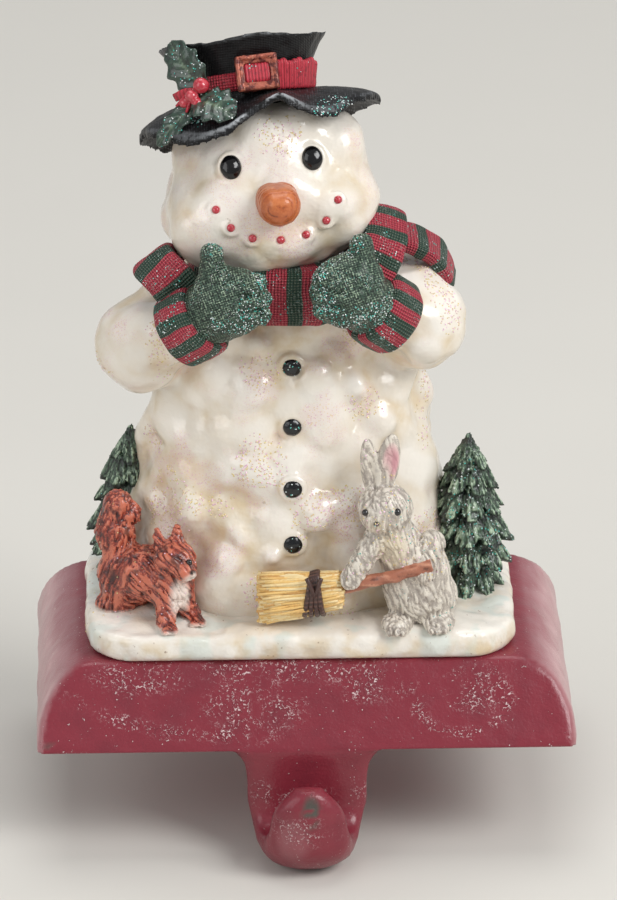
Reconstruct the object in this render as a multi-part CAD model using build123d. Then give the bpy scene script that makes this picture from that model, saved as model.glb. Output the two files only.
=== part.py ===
"""Mantel stocking holder: a cast-resin snowman group screwed to a hollow cast-iron base with a hook.

The origin is the middle of the base's flat underside, which rests on the mantel shelf.
X runs to the right as seen from the front, Y to the back and Z up. Lengths are millimetres.
"""
import math
import os

from build123d import *

# Iron base
base_width = 130.0
base_depth = 84.0
base_height = 18.5
base_wall = 6.0
shoulder_run = 14.5  # how far each curved end leans in on its way up
face_run = 12.3  # how far the front and back slope in on their way up
ridge_radius = 1.6  # softening of the cast ridges

# Stocking hook below the front edge
hook_width = 28.6
hook_thickness = 6.5
hook_gap = 9.0
hook_drop = 28.3  # lowest point of the bend below the shelf plane
hook_tip_drop = 4.2  # tip of the tongue below the shelf plane
hook_tongue_width = 18.6  # width where the tongue leaves the bend
hook_bulge = 2.8  # extra thickness of the knob at the lowest point
hook_squareness = 5.0  # 2 is an ellipse, and more is closer to a flat bar
hook_section_points = 20
hook_bend_steps = 8
hook_root_flare = 4.5  # extra width on each side where the hook leaves the base
hook_root_blend = 2.6  # height over which that flare dies out
hook_root_depth = 2.0  # how far the hook's root reaches up into the base

# Fixing screw and its boss
screw_shank = 5.0
screw_clearance = 0.3
thread_clearance = 0.05
screw_reach = 13.0  # length of the shank inside the resin
screw_hole_spare = 1.0  # depth of the hole beyond the screw's end
screw_head_width = 9.5
screw_head_height = 3.2
screw_slot_width = 1.2
screw_slot_depth = 1.5
screw_head_inset = 1.3  # clear height under the head
boss_width = 16.0

# Snow slab of the resin casting
slab_width = 104.5
slab_depth = 61.5
slab_height = 6.5
slab_corner = 15.0
slab_edge = 2.8
slab_offset = (-0.8, -0.8)

# Snowman's body: its foot stands in the snow, and the figure's places are measured from the foot's middle
figure_offset = (-3.2, 4.0)
foot_sink = 3.0
foot_radius = 36.0
belly_radius = 38.8
belly_height = 24.0
waist_radius = 34.6
waist_height = 43.0
chest_radius = 30.5
chest_height = 63.0
neck_radius = 17.0
neck_height = 86.0
body_depth_share = 0.66  # front-to-back depth against the width
body_lump = 1.7

# Snowman's head: leans back and to one side
head_rise = 15.6  # middle of the head above the top of the neck
head_shift = (-4.8, -3.0)
head_lean_back = 26.0
head_lean_side = 6.0
head_radius = 25.3
head_chin = 18.6  # chin below the middle of the head
chin_radius = 8.0
cheek_height = -2.5
brow_radius = 22.0
brow_height = 10.0
crown_radius = 13.0
head_depth_share = 0.84
head_lump = 0.8

# Face
face_shift = 1.5  # face against the middle of the head
eye_spacing = 19.5
eye_height = 7.1
eye_radius = 2.6
eye_dome = 1.6
eye_rim = 0.8
nose_height = -2.6
nose_root_radius = 4.9
nose_tip_radius = 3.0
nose_length = 9.0
nose_droop = 16.0
mouth_radius = 15.3
mouth_height = 3.4
mouth_spread = 64.0
mouth_berries = 7
mouth_berry_radius = 1.1

# Hat
hat_height = 23.8  # foot of the crown above the middle of the head
crown_shift = -1.6  # middle of the crown against the middle of the head
crown_foot_radius = 15.3
crown_waist_radius = 16.2
crown_top_radius = 20.0
crown_height = 14.2
crown_sink = 3.0  # how far the crown reaches down over the head
band_height = 4.2
band_thickness = 0.7
buckle_width = 9.2
buckle_height = 8.0
buckle_bar = 1.9
buckle_thickness = 1.8
buckle_turn = -12.0
brim_half_width = 28.6
brim_half_depth = 25.0
brim_thickness = 2.0
brim_arch = 4.6  # place of the raised arch in the brim's front edge
brim_left_droop = 13.0
brim_left_run = 26.0
brim_right_droop = 7.4
brim_right_run = 13.0
brim_side_share = 0.7  # droop at the sides against the droop at the front
leaf_length = 15.5
leaf_width = 8.6
leaf_thickness = 2.0
berry_radius = 2.3

# Buttons
button_heights = (20.3, 34.9, 49.2, 63.4)
button_radius = 2.3
button_dome = 1.3
button_rim = 0.8

# Arms: shoulder, elbow, wrist and mitten places, with the left hand first as seen from the front
arm_radius = 10.6
wrist_radius = 7.4
left_shoulder_radius = 10.0
right_shoulder_radius = 12.4
left_shoulder_inset = 10.0  # middle of the shoulder inside the side of the chest
right_shoulder_inset = 4.0
left_shoulder_drop = 10.0  # middle of the shoulder below the neck
right_shoulder_drop = 9.0
right_shoulder_forward = 4.5
left_elbow_reach = 4.6  # middle of the elbow beyond the side of the chest
right_elbow_reach = 0.8
left_elbow_place = (-11.0, 66.5)
right_elbow_place = (-11.0, 71.5)
left_wrist = (-23.5, -24.0, 77.3)
right_wrist = (22.1, -21.3, 79.0)
left_palm = (-15.6, -28.5, 85.0)
right_palm = (13.6, -29.0, 88.2)
left_fingers = (-10.8, -29.4, 85.6)
right_fingers = (10.4, -30.4, 87.4)
left_thumb_tip = (-18.6, -29.5, 97.4)
right_thumb_tip = (16.6, -28.0, 98.6)
palm_radii = (8.6, 6.7, 8.9)
thumb_root_radius = 3.9
thumb_tip_radius = 3.2
finger_radii = (5.2, 5.4, 7.4)
cuff_radius = 9.4
cuff_length = 9.6
cuff_round = 1.5

# Scarf
scarf_height = 82.4
scarf_radius = 24.0
scarf_depth = 19.5  # half the loop's depth from front to back
scarf_shift = -3.5
scarf_width = 14.5
scarf_round = 5.0
strap_width = 11.0
strap_thickness = 4.0
left_strap_route = ((-30.4, -11.0, 88.4), (-32.2, -15.6, 90.2), (-29.8, -20.6, 88.4), (-25.0, -22.0, 82.4))
left_strap_across = (0.77, 0.0, 0.64)
right_strap_route = ((22.0, -2.5, 95.0), (23.0, -10.5, 98.4), (21.8, -18.4, 94.0), (16.5, -23.5, 85.0))
right_strap_across = (0.95, 0.1, -0.3)
tail_route = ((21.0, -6.5, 90.8), (27.6, -6.4, 91.6), (34.2, -5.4, 88.2), (38.4, -4.6, 79.5))
tail_across = (0.1, 1.0, 0.15)

# Fir trees: place of the foot and height, then the hem of each tier as a share of the height, and its reach
right_tree = ((43.6, -7.0), 39.8)
left_tree = ((-38.2, 3.0), 38.8)
tree_tiers = ((0.02, 8.2), (0.15, 9.8), (0.29, 9.8), (0.43, 8.9), (0.57, 7.7), (0.7, 6.1), (0.82, 4.3))
tree_skirt = 3.0  # height of each tier's hanging edge
tree_tuck = 0.7  # radius below the next tier's hem, as a share of the tier's reach
tree_tip_radius = 0.9

# Squirrel: rounded masses as middle and radii, limbs as both ends and their radii
squirrel_masses = {
    "haunch": ((-39.4, -16.0, 8.0), (7.2, 6.5, 8.4)),
    "back": ((-34.4, -19.4, 10.4), (8.2, 6.4, 6.8)),
    "chest": ((-29.0, -23.8, 8.8), (5.6, 5.0, 6.6)),
    "head": ((-28.0, -24.6, 16.4), (5.6, 5.2, 5.0)),
    "muzzle": ((-25.6, -28.0, 14.8), (2.8, 2.6, 2.4)),
    "hind_foot": ((-42.0, -17.4, 1.6), (5.2, 4.2, 2.8)),
}
squirrel_limbs = {
    "left_ear": ((-31.4, -22.4, 19.4), (-32.4, -21.6, 22.4), 1.9, 0.8),
    "right_ear": ((-27.6, -23.2, 20.2), (-27.4, -22.8, 23.8), 1.9, 0.8),
    "near_foreleg": ((-29.8, -26.0, 7.0), (-30.4, -29.0, 1.2), 2.7, 2.1),
    "far_foreleg": ((-26.2, -24.4, 6.0), (-24.0, -24.4, 1.4), 2.5, 2.0),
    "tail_root": ((-40.4, -15.0, 11.0), (-42.6, -13.8, 19.0), 4.0, 5.2),
    "tail_middle": ((-42.6, -13.8, 19.0), (-41.4, -13.0, 26.0), 5.2, 3.6),
    "tail_curl": ((-41.4, -13.0, 26.0), (-37.6, -13.0, 23.6), 3.6, 2.4),
}

# Rabbit
rabbit_masses = {
    "body": ((30.0, -27.5, 11.6), (8.2, 6.8, 11.6)),
    "hip": ((34.4, -26.4, 6.6), (5.6, 6.0, 6.2)),
    "head": ((22.4, -30.0, 31.4), (6.5, 6.0, 6.2)),
    "muzzle": ((20.6, -34.0, 29.8), (3.0, 2.6, 2.6)),
    "left_foot": ((25.4, -31.4, 1.6), (3.8, 4.2, 2.6)),
    "right_foot": ((35.4, -30.4, 1.6), (4.0, 4.4, 2.6)),
}
rabbit_limbs = {
    "neck": ((23.4, -29.4, 26.0), (27.4, -28.2, 18.0), 5.0, 6.4),
    "left_arm": ((20.4, -31.4, 24.4), (14.0, -33.6, 14.6), 3.1, 2.5),
    "right_arm": ((32.4, -29.6, 21.8), (30.6, -33.6, 16.0), 3.4, 2.6),
}
rabbit_ears = {
    "left": ((18.8, -28.0, 41.0), (2.3, 1.7, 8.0), -6.0),
    "right": ((22.8, -28.4, 42.0), (2.8, 1.7, 8.4), -14.0),
}

# Broom: places along its axis and the bundle's half height there, then the handle
broom_bundle = (
    ((-6.4, -30.2, 8.3), 6.2),
    ((0.6, -30.8, 9.2), 5.7),
    ((5.4, -31.4, 9.9), 5.0),
    ((11.4, -32.2, 11.2), 4.4),
)
broom_depth_share = 0.5
broom_band = (2, 5.3, 3.4)  # band around this place of the bundle, its half height and its width
handle_end = (31.4, -33.2, 18.2)
handle_radius = 1.5

mass_rings = 8  # rings in each rounded mass

# Relief of the packed snow, as two crossing rows of lumps that die out on the middle of the front
lump_counts = (9, 6)  # lumps around
lump_pitches = (22.0, 31.0)  # heights of one lump and one dent
lump_ring_pitch = 6.2  # height between the rings that carry the relief
lump_points = 36  # points in each ring

deck = base_height + slab_height
foot = Vector(*figure_offset, deck)


def loaf(width, depth, height):
    """Block with flat underside, curved ends and sloped front and back."""
    half_top = width / 2 - shoulder_run
    right_end = EllipticalCenterArc((half_top, 0), shoulder_run, height, 0, arc_size=90)
    left_end = EllipticalCenterArc((-half_top, 0), shoulder_run, height, 90, arc_size=90)
    outline = right_end + Line(right_end @ 1, left_end @ 0) + left_end + Line(left_end @ 1, right_end @ 0)
    length = extrude(Plane.XZ * make_face(outline), amount=depth / 2, both=True)
    half_depth = depth / 2
    ridge = half_depth - face_run
    slope = Polyline((-half_depth, 0), (half_depth, 0), (ridge, height), (-ridge, height), close=True)
    return length & extrude(Plane.YZ * make_face(slope), amount=width / 2, both=True)


def hook_section(place, ahead, width, thickness, bulge, squareness):
    """Rounded cross-section of the hook; the bulge thickens the side that faces out of the bend."""
    points = []
    for step in range(hook_section_points):
        turn = 2 * math.pi * step / hook_section_points
        across, out = math.cos(turn), math.sin(turn)
        power = 2 / (squareness if out < 0 else hook_squareness)
        reach = thickness / 2 + (bulge if out < 0 else 0)
        side = math.copysign(abs(across) ** power, across)
        face = math.copysign(abs(out) ** power, out)
        points.append((side * width / 2, face * reach))
    return Plane(place, x_dir=(1, 0, 0), z_dir=ahead) * make_face(Spline(*points, periodic=True))


def hook():
    """Tongue that hangs from the front edge, bends forward in a rounded knob and rises to a narrow tip."""
    bend_radius = (hook_gap + hook_thickness) / 2
    bend_y = -(base_depth + hook_gap) / 2
    bend_z = bend_radius + hook_thickness / 2 + hook_bulge - hook_drop
    tongue_rise = -hook_tip_drop - bend_z
    sections = []
    for share in (0.0, 0.08, 0.16, 0.3, 0.5, 0.75):
        z = hook_root_depth + share * (bend_z - hook_root_depth)
        flare = hook_root_flare * math.exp(-max(0.0, -z) / hook_root_blend)
        lean = face_run / base_height * max(0.0, z)
        place = (0, bend_y + bend_radius + lean, z)
        sections.append(
            hook_section(place, (0, 0, -1), hook_width + 2 * flare, hook_thickness, 0, hook_squareness)
        )
    for step in range(hook_bend_steps + 1):
        share = step / hook_bend_steps
        turn = math.pi * share
        place = (0, bend_y + bend_radius * math.cos(turn), bend_z - bend_radius * math.sin(turn))
        width = hook_width + (hook_tongue_width - hook_width) * share
        swell = math.sin(turn)
        squareness = hook_squareness + (2 - hook_squareness) * min(1.0, 2 * share)
        ahead = (0, -math.sin(turn), -math.cos(turn))
        sections.append(hook_section(place, ahead, width, hook_thickness, hook_bulge * swell, squareness))
    for share in (0.3, 0.6, 0.85, 1.0):
        width = hook_tongue_width * math.sqrt(1.02 - share**1.6)
        thickness = hook_thickness * math.sqrt(1.1 - share**4)
        place = (0, bend_y - bend_radius, bend_z + share * tongue_rise)
        sections.append(hook_section(place, (0, 0, 1), width, thickness, 0, 2))
    return loft(sections)


def hook_base():
    """Iron casting: hollow base, screw boss and hook."""
    shell = loaf(base_width, base_depth, base_height)
    ridges = [edge for edge in shell.edges() if edge.bounding_box().max.Z > base_height / 2]
    shell = fillet(ridges, ridge_radius)
    hollow = loaf(base_width - 2 * base_wall, base_depth - 2 * base_wall, base_height - base_wall)
    boss_foot = screw_head_inset + screw_head_height
    boss_length = base_height - base_wall / 2 - boss_foot
    boss = Pos(0, 0, boss_foot) * extrude(Circle(boss_width / 2), amount=boss_length)
    bore = extrude(Circle(screw_shank / 2 + screw_clearance), amount=base_height)
    return shell - hollow + boss - bore + hook()


def fixing_screw():
    """Pan-head machine screw from the boss up into the resin; its thread is left plain."""
    seat = screw_head_inset + screw_head_height
    head = Pos(0, 0, screw_head_inset) * extrude(Circle(screw_head_width / 2), amount=screw_head_height)
    head = fillet(head.edges().sort_by(Axis.Z)[0], screw_head_height / 3)
    slot = Pos(0, 0, screw_head_inset) * Box(screw_head_width, screw_slot_width, 2 * screw_slot_depth)
    shank = Pos(0, 0, seat) * extrude(Circle(screw_shank / 2), amount=base_height + screw_reach - seat)
    return head - slot + chamfer(shank.edges().sort_by(Axis.Z)[-1], screw_shank / 6)


def mass(middle, radii, turn=(0, 0, 0)):
    """Rounded mass with three radii, lofted through rings with a small flat at each end."""
    rings = []
    for ring in range(mass_rings):
        angle = math.pi * (ring + 0.4) / (mass_rings - 0.2)
        outline = Ellipse(radii[0] * math.sin(angle), radii[1] * math.sin(angle))
        rings.append(Pos(0, 0, -radii[2] * math.cos(angle)) * outline)
    return Location(middle, turn) * loft(rings)


def limb(start, end, start_radius, end_radius):
    """Tapered limb with round ends, turned as one solid about its axis."""
    axis = Vector(*end) - Vector(*start)
    slant = (start_radius - end_radius) / axis.length
    level = math.sqrt(1 - slant**2)
    low = (start_radius * level, start_radius * slant)
    high = (end_radius * level, axis.length + end_radius * slant)
    half = math.sqrt((1 - slant) / 2), math.sqrt((1 + slant) / 2)
    low_arc = ThreePointArc((0, -start_radius), (start_radius * half[1], -start_radius * half[0]), low)
    top = (0, axis.length + end_radius)
    high_arc = ThreePointArc(high, (end_radius * half[0], axis.length + end_radius * half[1]), top)
    profile = make_face([low_arc, Line(low, high), high_arc, Line(high_arc @ 1, low_arc @ 0)])
    return Plane(start, z_dir=axis) * revolve(Plane.XZ * profile, Axis.Z)


def swell(turn, height):
    """Relief of the packed snow, from -1 in a dent to 1 on a lump."""
    from_front = turn + math.pi / 2
    small = math.sin(lump_counts[0] * from_front) * math.sin(2 * math.pi * height / lump_pitches[0])
    large = math.sin(lump_counts[1] * from_front) * math.cos(2 * math.pi * height / lump_pitches[1])
    return (small + large) / 1.5


def lumpy(outline, depth_share, lump):
    """Loft of rings that follow an outline of radius against height, dented like packed snow."""
    low, high = (outline @ 0).Y, (outline @ 1).Y
    ring_count = round((high - low) / lump_ring_pitch) + 1
    rings = []
    for ring in range(ring_count):
        share = ring / (ring_count - 1)
        radius, height = (outline @ share).X, (outline @ share).Y
        fade = math.sin(math.pi * share) ** 0.5 if 0 < share < 1 else 0.0
        points = []
        for step in range(lump_points):
            turn = 2 * math.pi * step / lump_points
            reach = radius + lump * fade * swell(turn, height)
            points.append((reach * math.cos(turn), depth_share * reach * math.sin(turn), height))
        rings.append(make_face(Spline(*points, periodic=True)))
    return loft(rings)


body_outline = Spline(
    (foot_radius, -foot_sink),
    (belly_radius, belly_height),
    (waist_radius, waist_height),
    (chest_radius, chest_height),
    (neck_radius, neck_height),
)
head_outline = Spline(
    (chin_radius, -head_chin),
    (head_radius, cheek_height),
    (brow_radius, brow_height),
    (crown_radius, hat_height),
    tangents=((1, 0.3), (-1, 0.6)),
)
head_frame = (
    Pos(head_shift[0], head_shift[1], neck_height + head_rise)
    * Rot(X=-head_lean_back)
    * Rot(Y=-head_lean_side)
)


def radius_at(outline, height):
    """Radius of an outline at a height, by halving."""
    low, high = 0.0, 1.0
    for _ in range(30):
        middle = (low + high) / 2
        if (outline @ middle).Y < height:
            low = middle
        else:
            high = middle
    return (outline @ low).X


def on_face(outline, depth_share, across, height):
    """Place on the front of a lofted form, and the direction that it faces there."""
    radius = radius_at(outline, height)
    out = math.sqrt(max(0.0, 1 - (across / radius) ** 2))
    place = (across, -depth_share * radius * out, height)
    slope = (radius_at(outline, height + 1) - radius_at(outline, height - 1)) / 2
    return place, (across / radius * depth_share, -out, -slope * depth_share)


def stud(outline, depth_share, across, height, radius, dome, rim):
    """Round dome in a raised rim, set into the front of a lofted form."""
    place, facing = on_face(outline, depth_share, across, height)
    seat = Plane(place, x_dir=Vector(-facing[1], facing[0], 0), z_dir=facing)
    ball_radius = (radius**2 + dome**2) / (2 * dome)
    return [seat * Pos(0, 0, dome - ball_radius) * Sphere(ball_radius), seat * Torus(radius + rim / 2, rim)]


def body():
    """Snowman's body with its buttons."""
    shapes = [lumpy(body_outline, body_depth_share, body_lump)]
    for height in button_heights:
        shapes += stud(body_outline, body_depth_share, 0.0, height, button_radius, button_dome, button_rim)
    return shapes


def head():
    """Head with eyes, nose and a mouth of berries, in the head's own frame."""
    shapes = [lumpy(head_outline, head_depth_share, head_lump)]
    for side in (-1, 1):
        across = face_shift + side * eye_spacing / 2
        shapes += stud(head_outline, head_depth_share, across, eye_height, eye_radius, eye_dome, eye_rim)
    for step in range(mouth_berries):
        turn = math.radians(mouth_spread * (2 * step / (mouth_berries - 1) - 1))
        across = face_shift + mouth_radius * math.sin(turn)
        height = mouth_height - mouth_radius * math.cos(turn)
        place, _ = on_face(head_outline, head_depth_share, across, height)
        shapes.append(Pos(*place) * Sphere(mouth_berry_radius))
    root, _ = on_face(head_outline, head_depth_share, face_shift, nose_height)
    droop = math.radians(nose_droop)
    tip = (root[0], root[1] - nose_length * math.cos(droop), root[2] - nose_length * math.sin(droop))
    shapes.append(limb(root, tip, nose_root_radius, nose_tip_radius))
    return shapes


def brim():
    """Floppy brim that droops to the front and back on both sides of a raised arch."""
    def droop(across):
        if across < brim_arch:
            deepest, share = brim_left_droop, (brim_arch - across) / brim_left_run
        else:
            deepest, share = brim_right_droop, (across - brim_arch) / brim_right_run
        return deepest * math.sin(min(1.0, share) * math.pi / 2) ** 1.4

    columns, rows = 17, 9
    grid = []
    for column in range(columns):
        across = brim_half_width * (2.1 * column / (columns - 1) - 1.05)
        line = []
        for row in range(rows):
            out = 2 * row / (rows - 1) - 1
            fall = droop(across) * (out**2 + brim_side_share * (across / brim_half_width) ** 4)
            line.append(Vector(across, 1.05 * brim_half_depth * out, -fall))
        grid.append(line)
    sheet = thicken(Face.make_surface_from_array_of_points(grid), brim_thickness)
    reach = brim_left_droop + brim_right_droop
    return sheet & extrude(Ellipse(brim_half_width, brim_half_depth), amount=reach, both=True)


def holly_leaf():
    """Leaf that lies along +X from its stalk, with a scalloped edge."""
    tip = (leaf_length, 0)
    edges = []
    for side in (1, -1):
        points = [(0, 0)]
        for share in (1 / 3, 2 / 3):
            points.append((share * leaf_length, side * leaf_width / 2))
        points.append(tip)
        edges += [
            ThreePointArc(start, ((start[0] + end[0]) / 2, side * 0.36 * leaf_width * bow), end)
            for start, end, bow in zip(points, points[1:], (0.4, 1.0, 0.4))
        ]
    return extrude(make_face(edges), amount=leaf_thickness / 2, both=True)


def hat():
    """Hat in the head's own frame, measured from the foot of the crown."""
    side = Spline(
        (crown_foot_radius, 0), (crown_waist_radius, crown_height / 2), (crown_top_radius, crown_height)
    )
    hidden_foot = (crown_foot_radius, -crown_sink)
    inside = Polyline(side @ 1, (0, crown_height), (0, -crown_sink), hidden_foot, side @ 0)
    wall = make_face([side, inside])
    crown = Pos(crown_shift, 0, 0) * revolve(Plane.XZ * wall, Axis.Z)
    ribbon = extrude(Circle(crown_foot_radius + band_thickness), amount=band_height)
    band = Pos(crown_shift, 0, brim_thickness / 2) * ribbon
    frame = Rectangle(buckle_width, buckle_height) - Rectangle(
        buckle_width - 2 * buckle_bar, buckle_height - 2 * buckle_bar
    )
    seat = Rot(Z=buckle_turn / 2) * Pos(0, -crown_foot_radius - band_thickness, buckle_height / 2)
    buckle = seat * extrude(Plane.XZ * frame, amount=buckle_thickness, both=True)
    shapes = [crown, band, buckle, brim()]
    corner = (crown_foot_radius + band_thickness) * math.sqrt(0.5)
    stalk = Pos(crown_shift - corner, -corner, band_height / 2)
    for spin, tilt in ((115.0, 0.0), (205.0, 30.0), (285.0, 40.0)):
        leaf = Rot(Z=-45) * Rot(X=90) * Rot(Z=spin) * Rot(Y=tilt / 2) * holly_leaf()
        shapes.append(stalk * leaf)
    for step in range(3):
        turn = math.radians(120 * step)
        spread = 0.8 * berry_radius
        berry = Pos(spread * math.cos(turn), -leaf_thickness, spread * math.sin(turn)) * Sphere(berry_radius)
        shapes.append(stalk * berry)
    return [Pos(0, 0, hat_height) * shape for shape in shapes]


def arm(shoulder, shoulder_radius, elbow, wrist, palm, fingers, thumb_tip):
    """Arm that bends up to the scarf, with a striped cuff and a mitten."""
    along = (Vector(*palm) - Vector(*wrist)).normalized()
    cuff = fillet(extrude(Circle(cuff_radius), amount=cuff_length / 2, both=True).edges(), cuff_round)
    thumb_root = (thumb_tip[0], thumb_tip[1], palm[2] + palm_radii[2] / 3)
    return [
        limb(shoulder, elbow, shoulder_radius, arm_radius),
        limb(elbow, wrist, arm_radius, wrist_radius),
        Plane(wrist, z_dir=along) * cuff,
        mass(palm, palm_radii),
        mass(fingers, finger_radii),
        limb(thumb_root, thumb_tip, thumb_root_radius, thumb_tip_radius),
    ]


def strap(places, across):
    """Flat end of the scarf along places, wide in the direction across."""
    route = Spline(*places)
    section = Plane(route @ 0, x_dir=across, z_dir=route % 0) * RectangleRounded(
        strap_width, strap_thickness, 0.4 * strap_thickness
    )
    return sweep(section, path=route, is_frenet=False)


def scarf():
    """Scarf around the neck, with its folds over both shoulders and its loose end."""
    ring = extrude(Ellipse(scarf_radius, scarf_depth), amount=scarf_width / 2, both=True)
    return [
        Pos(0, scarf_shift, scarf_height) * fillet(ring.edges(), scarf_round),
        strap(left_strap_route, left_strap_across),
        strap(right_strap_route, right_strap_across),
        strap(tail_route, tail_across),
    ]


def fir_tree(place, height):
    """Tree of drooping tiers on a short stem that stands in the snow."""
    points = [(0, -foot_sink), (tree_tiers[0][1] / 2, -foot_sink)]
    for (share, reach), (next_share, _) in zip(tree_tiers, [*tree_tiers[1:], (0.95, 0)]):
        points.append((reach + tree_tip_radius / 2, height * share))
        points.append((0.92 * reach, height * share + tree_skirt))
        points.append((tree_tuck * reach, height * next_share + tree_tip_radius))
    points += [(tree_tip_radius, height), (0, height)]
    return Pos(*place, 0) * revolve(Plane.XZ * make_face(Polyline(*points, close=True)), Axis.Z)


def animals():
    """Squirrel and rabbit as rounded masses and limbs."""
    shapes = []
    for middle, radii in [*squirrel_masses.values(), *rabbit_masses.values()]:
        shapes.append(mass(middle, radii))
    for start, end, start_radius, end_radius in [*squirrel_limbs.values(), *rabbit_limbs.values()]:
        shapes.append(limb(start, end, start_radius, end_radius))
    for middle, radii, lean in rabbit_ears.values():
        shapes.append(mass(middle, radii, (0, lean, 0)))
    return shapes


def broom():
    """Straw broom in the rabbit's paws."""
    sections = []
    for place, half_height in broom_bundle:
        sections.append(Plane(place, z_dir=(1, 0, 0)) * Ellipse(half_height * broom_depth_share, half_height))
    index, half_height, width = broom_band
    ring = Ellipse(half_height * broom_depth_share + 1, half_height + 0.6)
    band = extrude(ring, amount=width / 2, both=True)
    start = broom_bundle[-1][0]
    return [
        loft(sections),
        Plane(broom_bundle[index][0], z_dir=(1, 0, 0)) * band,
        limb(start, handle_end, handle_radius, 0.9 * handle_radius),
    ]


def slab():
    """Snow slab with rounded upper edge."""
    block = extrude(RectangleRounded(slab_width, slab_depth, slab_corner), amount=slab_height)
    block = fillet(block.faces().sort_by(Axis.Z)[-1].edges(), slab_edge)
    return Pos(slab_offset[0] - foot.X, slab_offset[1] - foot.Y, base_height - foot.Z) * block


def fused(shapes):
    """One solid from shapes that run into one another."""
    return shapes[0].fuse(*shapes[1:])


def figure():
    """Resin casting: everything above the iron base, fused, with its screw hole."""
    left_shoulder = (left_shoulder_inset - chest_radius, 0, neck_height - left_shoulder_drop)
    left_elbow = (-chest_radius - left_elbow_reach, *left_elbow_place)
    left_hand = (left_wrist, left_palm, left_fingers, left_thumb_tip)
    left_arm = arm(left_shoulder, left_shoulder_radius, left_elbow, *left_hand)
    right_shoulder = (
        chest_radius - right_shoulder_inset, -right_shoulder_forward, neck_height - right_shoulder_drop
    )
    right_elbow = (chest_radius + right_elbow_reach, *right_elbow_place)
    right_hand = (right_wrist, right_palm, right_fingers, right_thumb_tip)
    right_arm = arm(right_shoulder, right_shoulder_radius, right_elbow, *right_hand)
    ground = [slab(), fir_tree(*right_tree), fir_tree(*left_tree), *animals(), *broom()]
    capped_head = [head_frame * shape for shape in head() + hat()]
    cast = fused(body())
    for group in (ground, left_arm + right_arm, scarf(), capped_head):
        cast = cast.fuse(fused(group))
    hole_depth = screw_reach + screw_hole_spare
    hole = Pos(0, 0, base_height) * extrude(Circle(screw_shank / 2 + thread_clearance), amount=hole_depth)
    return (Pos(foot) * cast).cut(hole)


os.makedirs("parts", exist_ok=True)
for name, shape in (("hook_base", hook_base()), ("figure", figure()), ("fixing_screw", fixing_screw())):
    export_step(shape, f"parts/{name}.step")
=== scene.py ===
"""Looks of a mantel stocking holder: a painted snowman casting on an enamelled iron base with a hook.

Lengths in this file are millimetres, and meshes are written in metres in the frame of the CAD model.
"""
import itertools
import math

import bpy
import numpy as np
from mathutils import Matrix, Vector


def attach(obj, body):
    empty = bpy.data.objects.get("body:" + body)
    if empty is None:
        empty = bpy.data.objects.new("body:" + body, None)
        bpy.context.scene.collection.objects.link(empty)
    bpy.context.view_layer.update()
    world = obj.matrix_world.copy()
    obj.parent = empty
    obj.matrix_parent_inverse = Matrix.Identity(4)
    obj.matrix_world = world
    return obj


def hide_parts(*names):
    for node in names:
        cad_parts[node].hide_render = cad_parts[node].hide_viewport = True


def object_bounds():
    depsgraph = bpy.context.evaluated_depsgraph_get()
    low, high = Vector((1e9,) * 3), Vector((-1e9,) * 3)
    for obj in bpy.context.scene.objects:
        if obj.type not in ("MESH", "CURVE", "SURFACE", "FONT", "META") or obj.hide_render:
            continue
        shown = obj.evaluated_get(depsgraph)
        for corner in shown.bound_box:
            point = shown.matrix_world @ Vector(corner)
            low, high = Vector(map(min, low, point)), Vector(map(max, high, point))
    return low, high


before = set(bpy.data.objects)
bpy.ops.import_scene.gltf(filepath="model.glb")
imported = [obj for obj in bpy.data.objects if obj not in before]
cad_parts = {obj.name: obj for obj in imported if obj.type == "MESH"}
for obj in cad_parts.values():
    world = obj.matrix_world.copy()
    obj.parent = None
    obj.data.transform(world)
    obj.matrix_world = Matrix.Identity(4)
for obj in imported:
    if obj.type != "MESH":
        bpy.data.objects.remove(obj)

import openvdb
from mathutils import Matrix, Vector

bl_info = {
    "name": "Snowman stocking holder",
    "version": (1, 0, 0),
    "blender": (4, 5, 0),
    "location": "View3D > Sidebar > Holder",
    "description": "Sculpts and paints a snowman stocking holder around its CAD frame",
    "category": "Object",
}

CAD_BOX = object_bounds()
MM = 0.001
FULL_TURN = 2 * math.pi
FAR = 6.0  # distance that stands for empty space in a block of clay
ROUGH_REACH = 3.0  # distance from the surface within which clay is roughened
CRUMB = 100  # a loose bit of clay with fewer faces than this is brushed off
CELL_FACTORS = (374761393, 668265263, 2147483647)  # spread the cells of the noise along each axis
SEED_FACTOR = 974634541
BIT_STEPS = ((13, 1274126177), (15, 2246822519))  # shifts and factors that scramble the bits
LAST_SHIFT = 16
HASH_MASK = 0xFFFFFF
LUMP_TIGHTNESS = 8  # how quickly a lump of snow falls away from its middle
LUMP_SPREAD = 4.5
MIX_FIRST, MIX_SECOND, MIX_RESULT = 6, 7, 2  # places of the colour sockets on a mix node
FLAKE_SHARE = 0.42  # part of its cell that a painted flake of glitter fills
COAT_ROUGHNESS = 0.12
KNIT_RATE = 9.6  # angle of the stitches' waves for each millimetre
RIBBON_RATE = 9.0  # the same for the threads of the hat band
FOOT = Vector((-3.2, 4.0, 25.0))  # middle of the snowman's foot, on the snow
FOOT_FRAME = Matrix.Translation(FOOT)
HEAD_FRAME = (
    Matrix.Translation(FOOT + Vector((-4.8, -3.0, 101.6)))
    @ Matrix.Rotation(math.radians(-26), 4, "X")
    @ Matrix.Rotation(math.radians(-6), 4, "Y")
)
HAT_HEIGHT = 23.8  # foot of the crown above the middle of the head


def srgb(red, green, blue):
    """Scene-linear colour from screen values of 0 to 255."""
    shares = [value / 255 for value in (red, green, blue)]
    return tuple(s / 12.92 if s <= 0.04045 else ((s + 0.055) / 1.055) ** 2.4 for s in shares)


# Noise and clay

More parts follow.
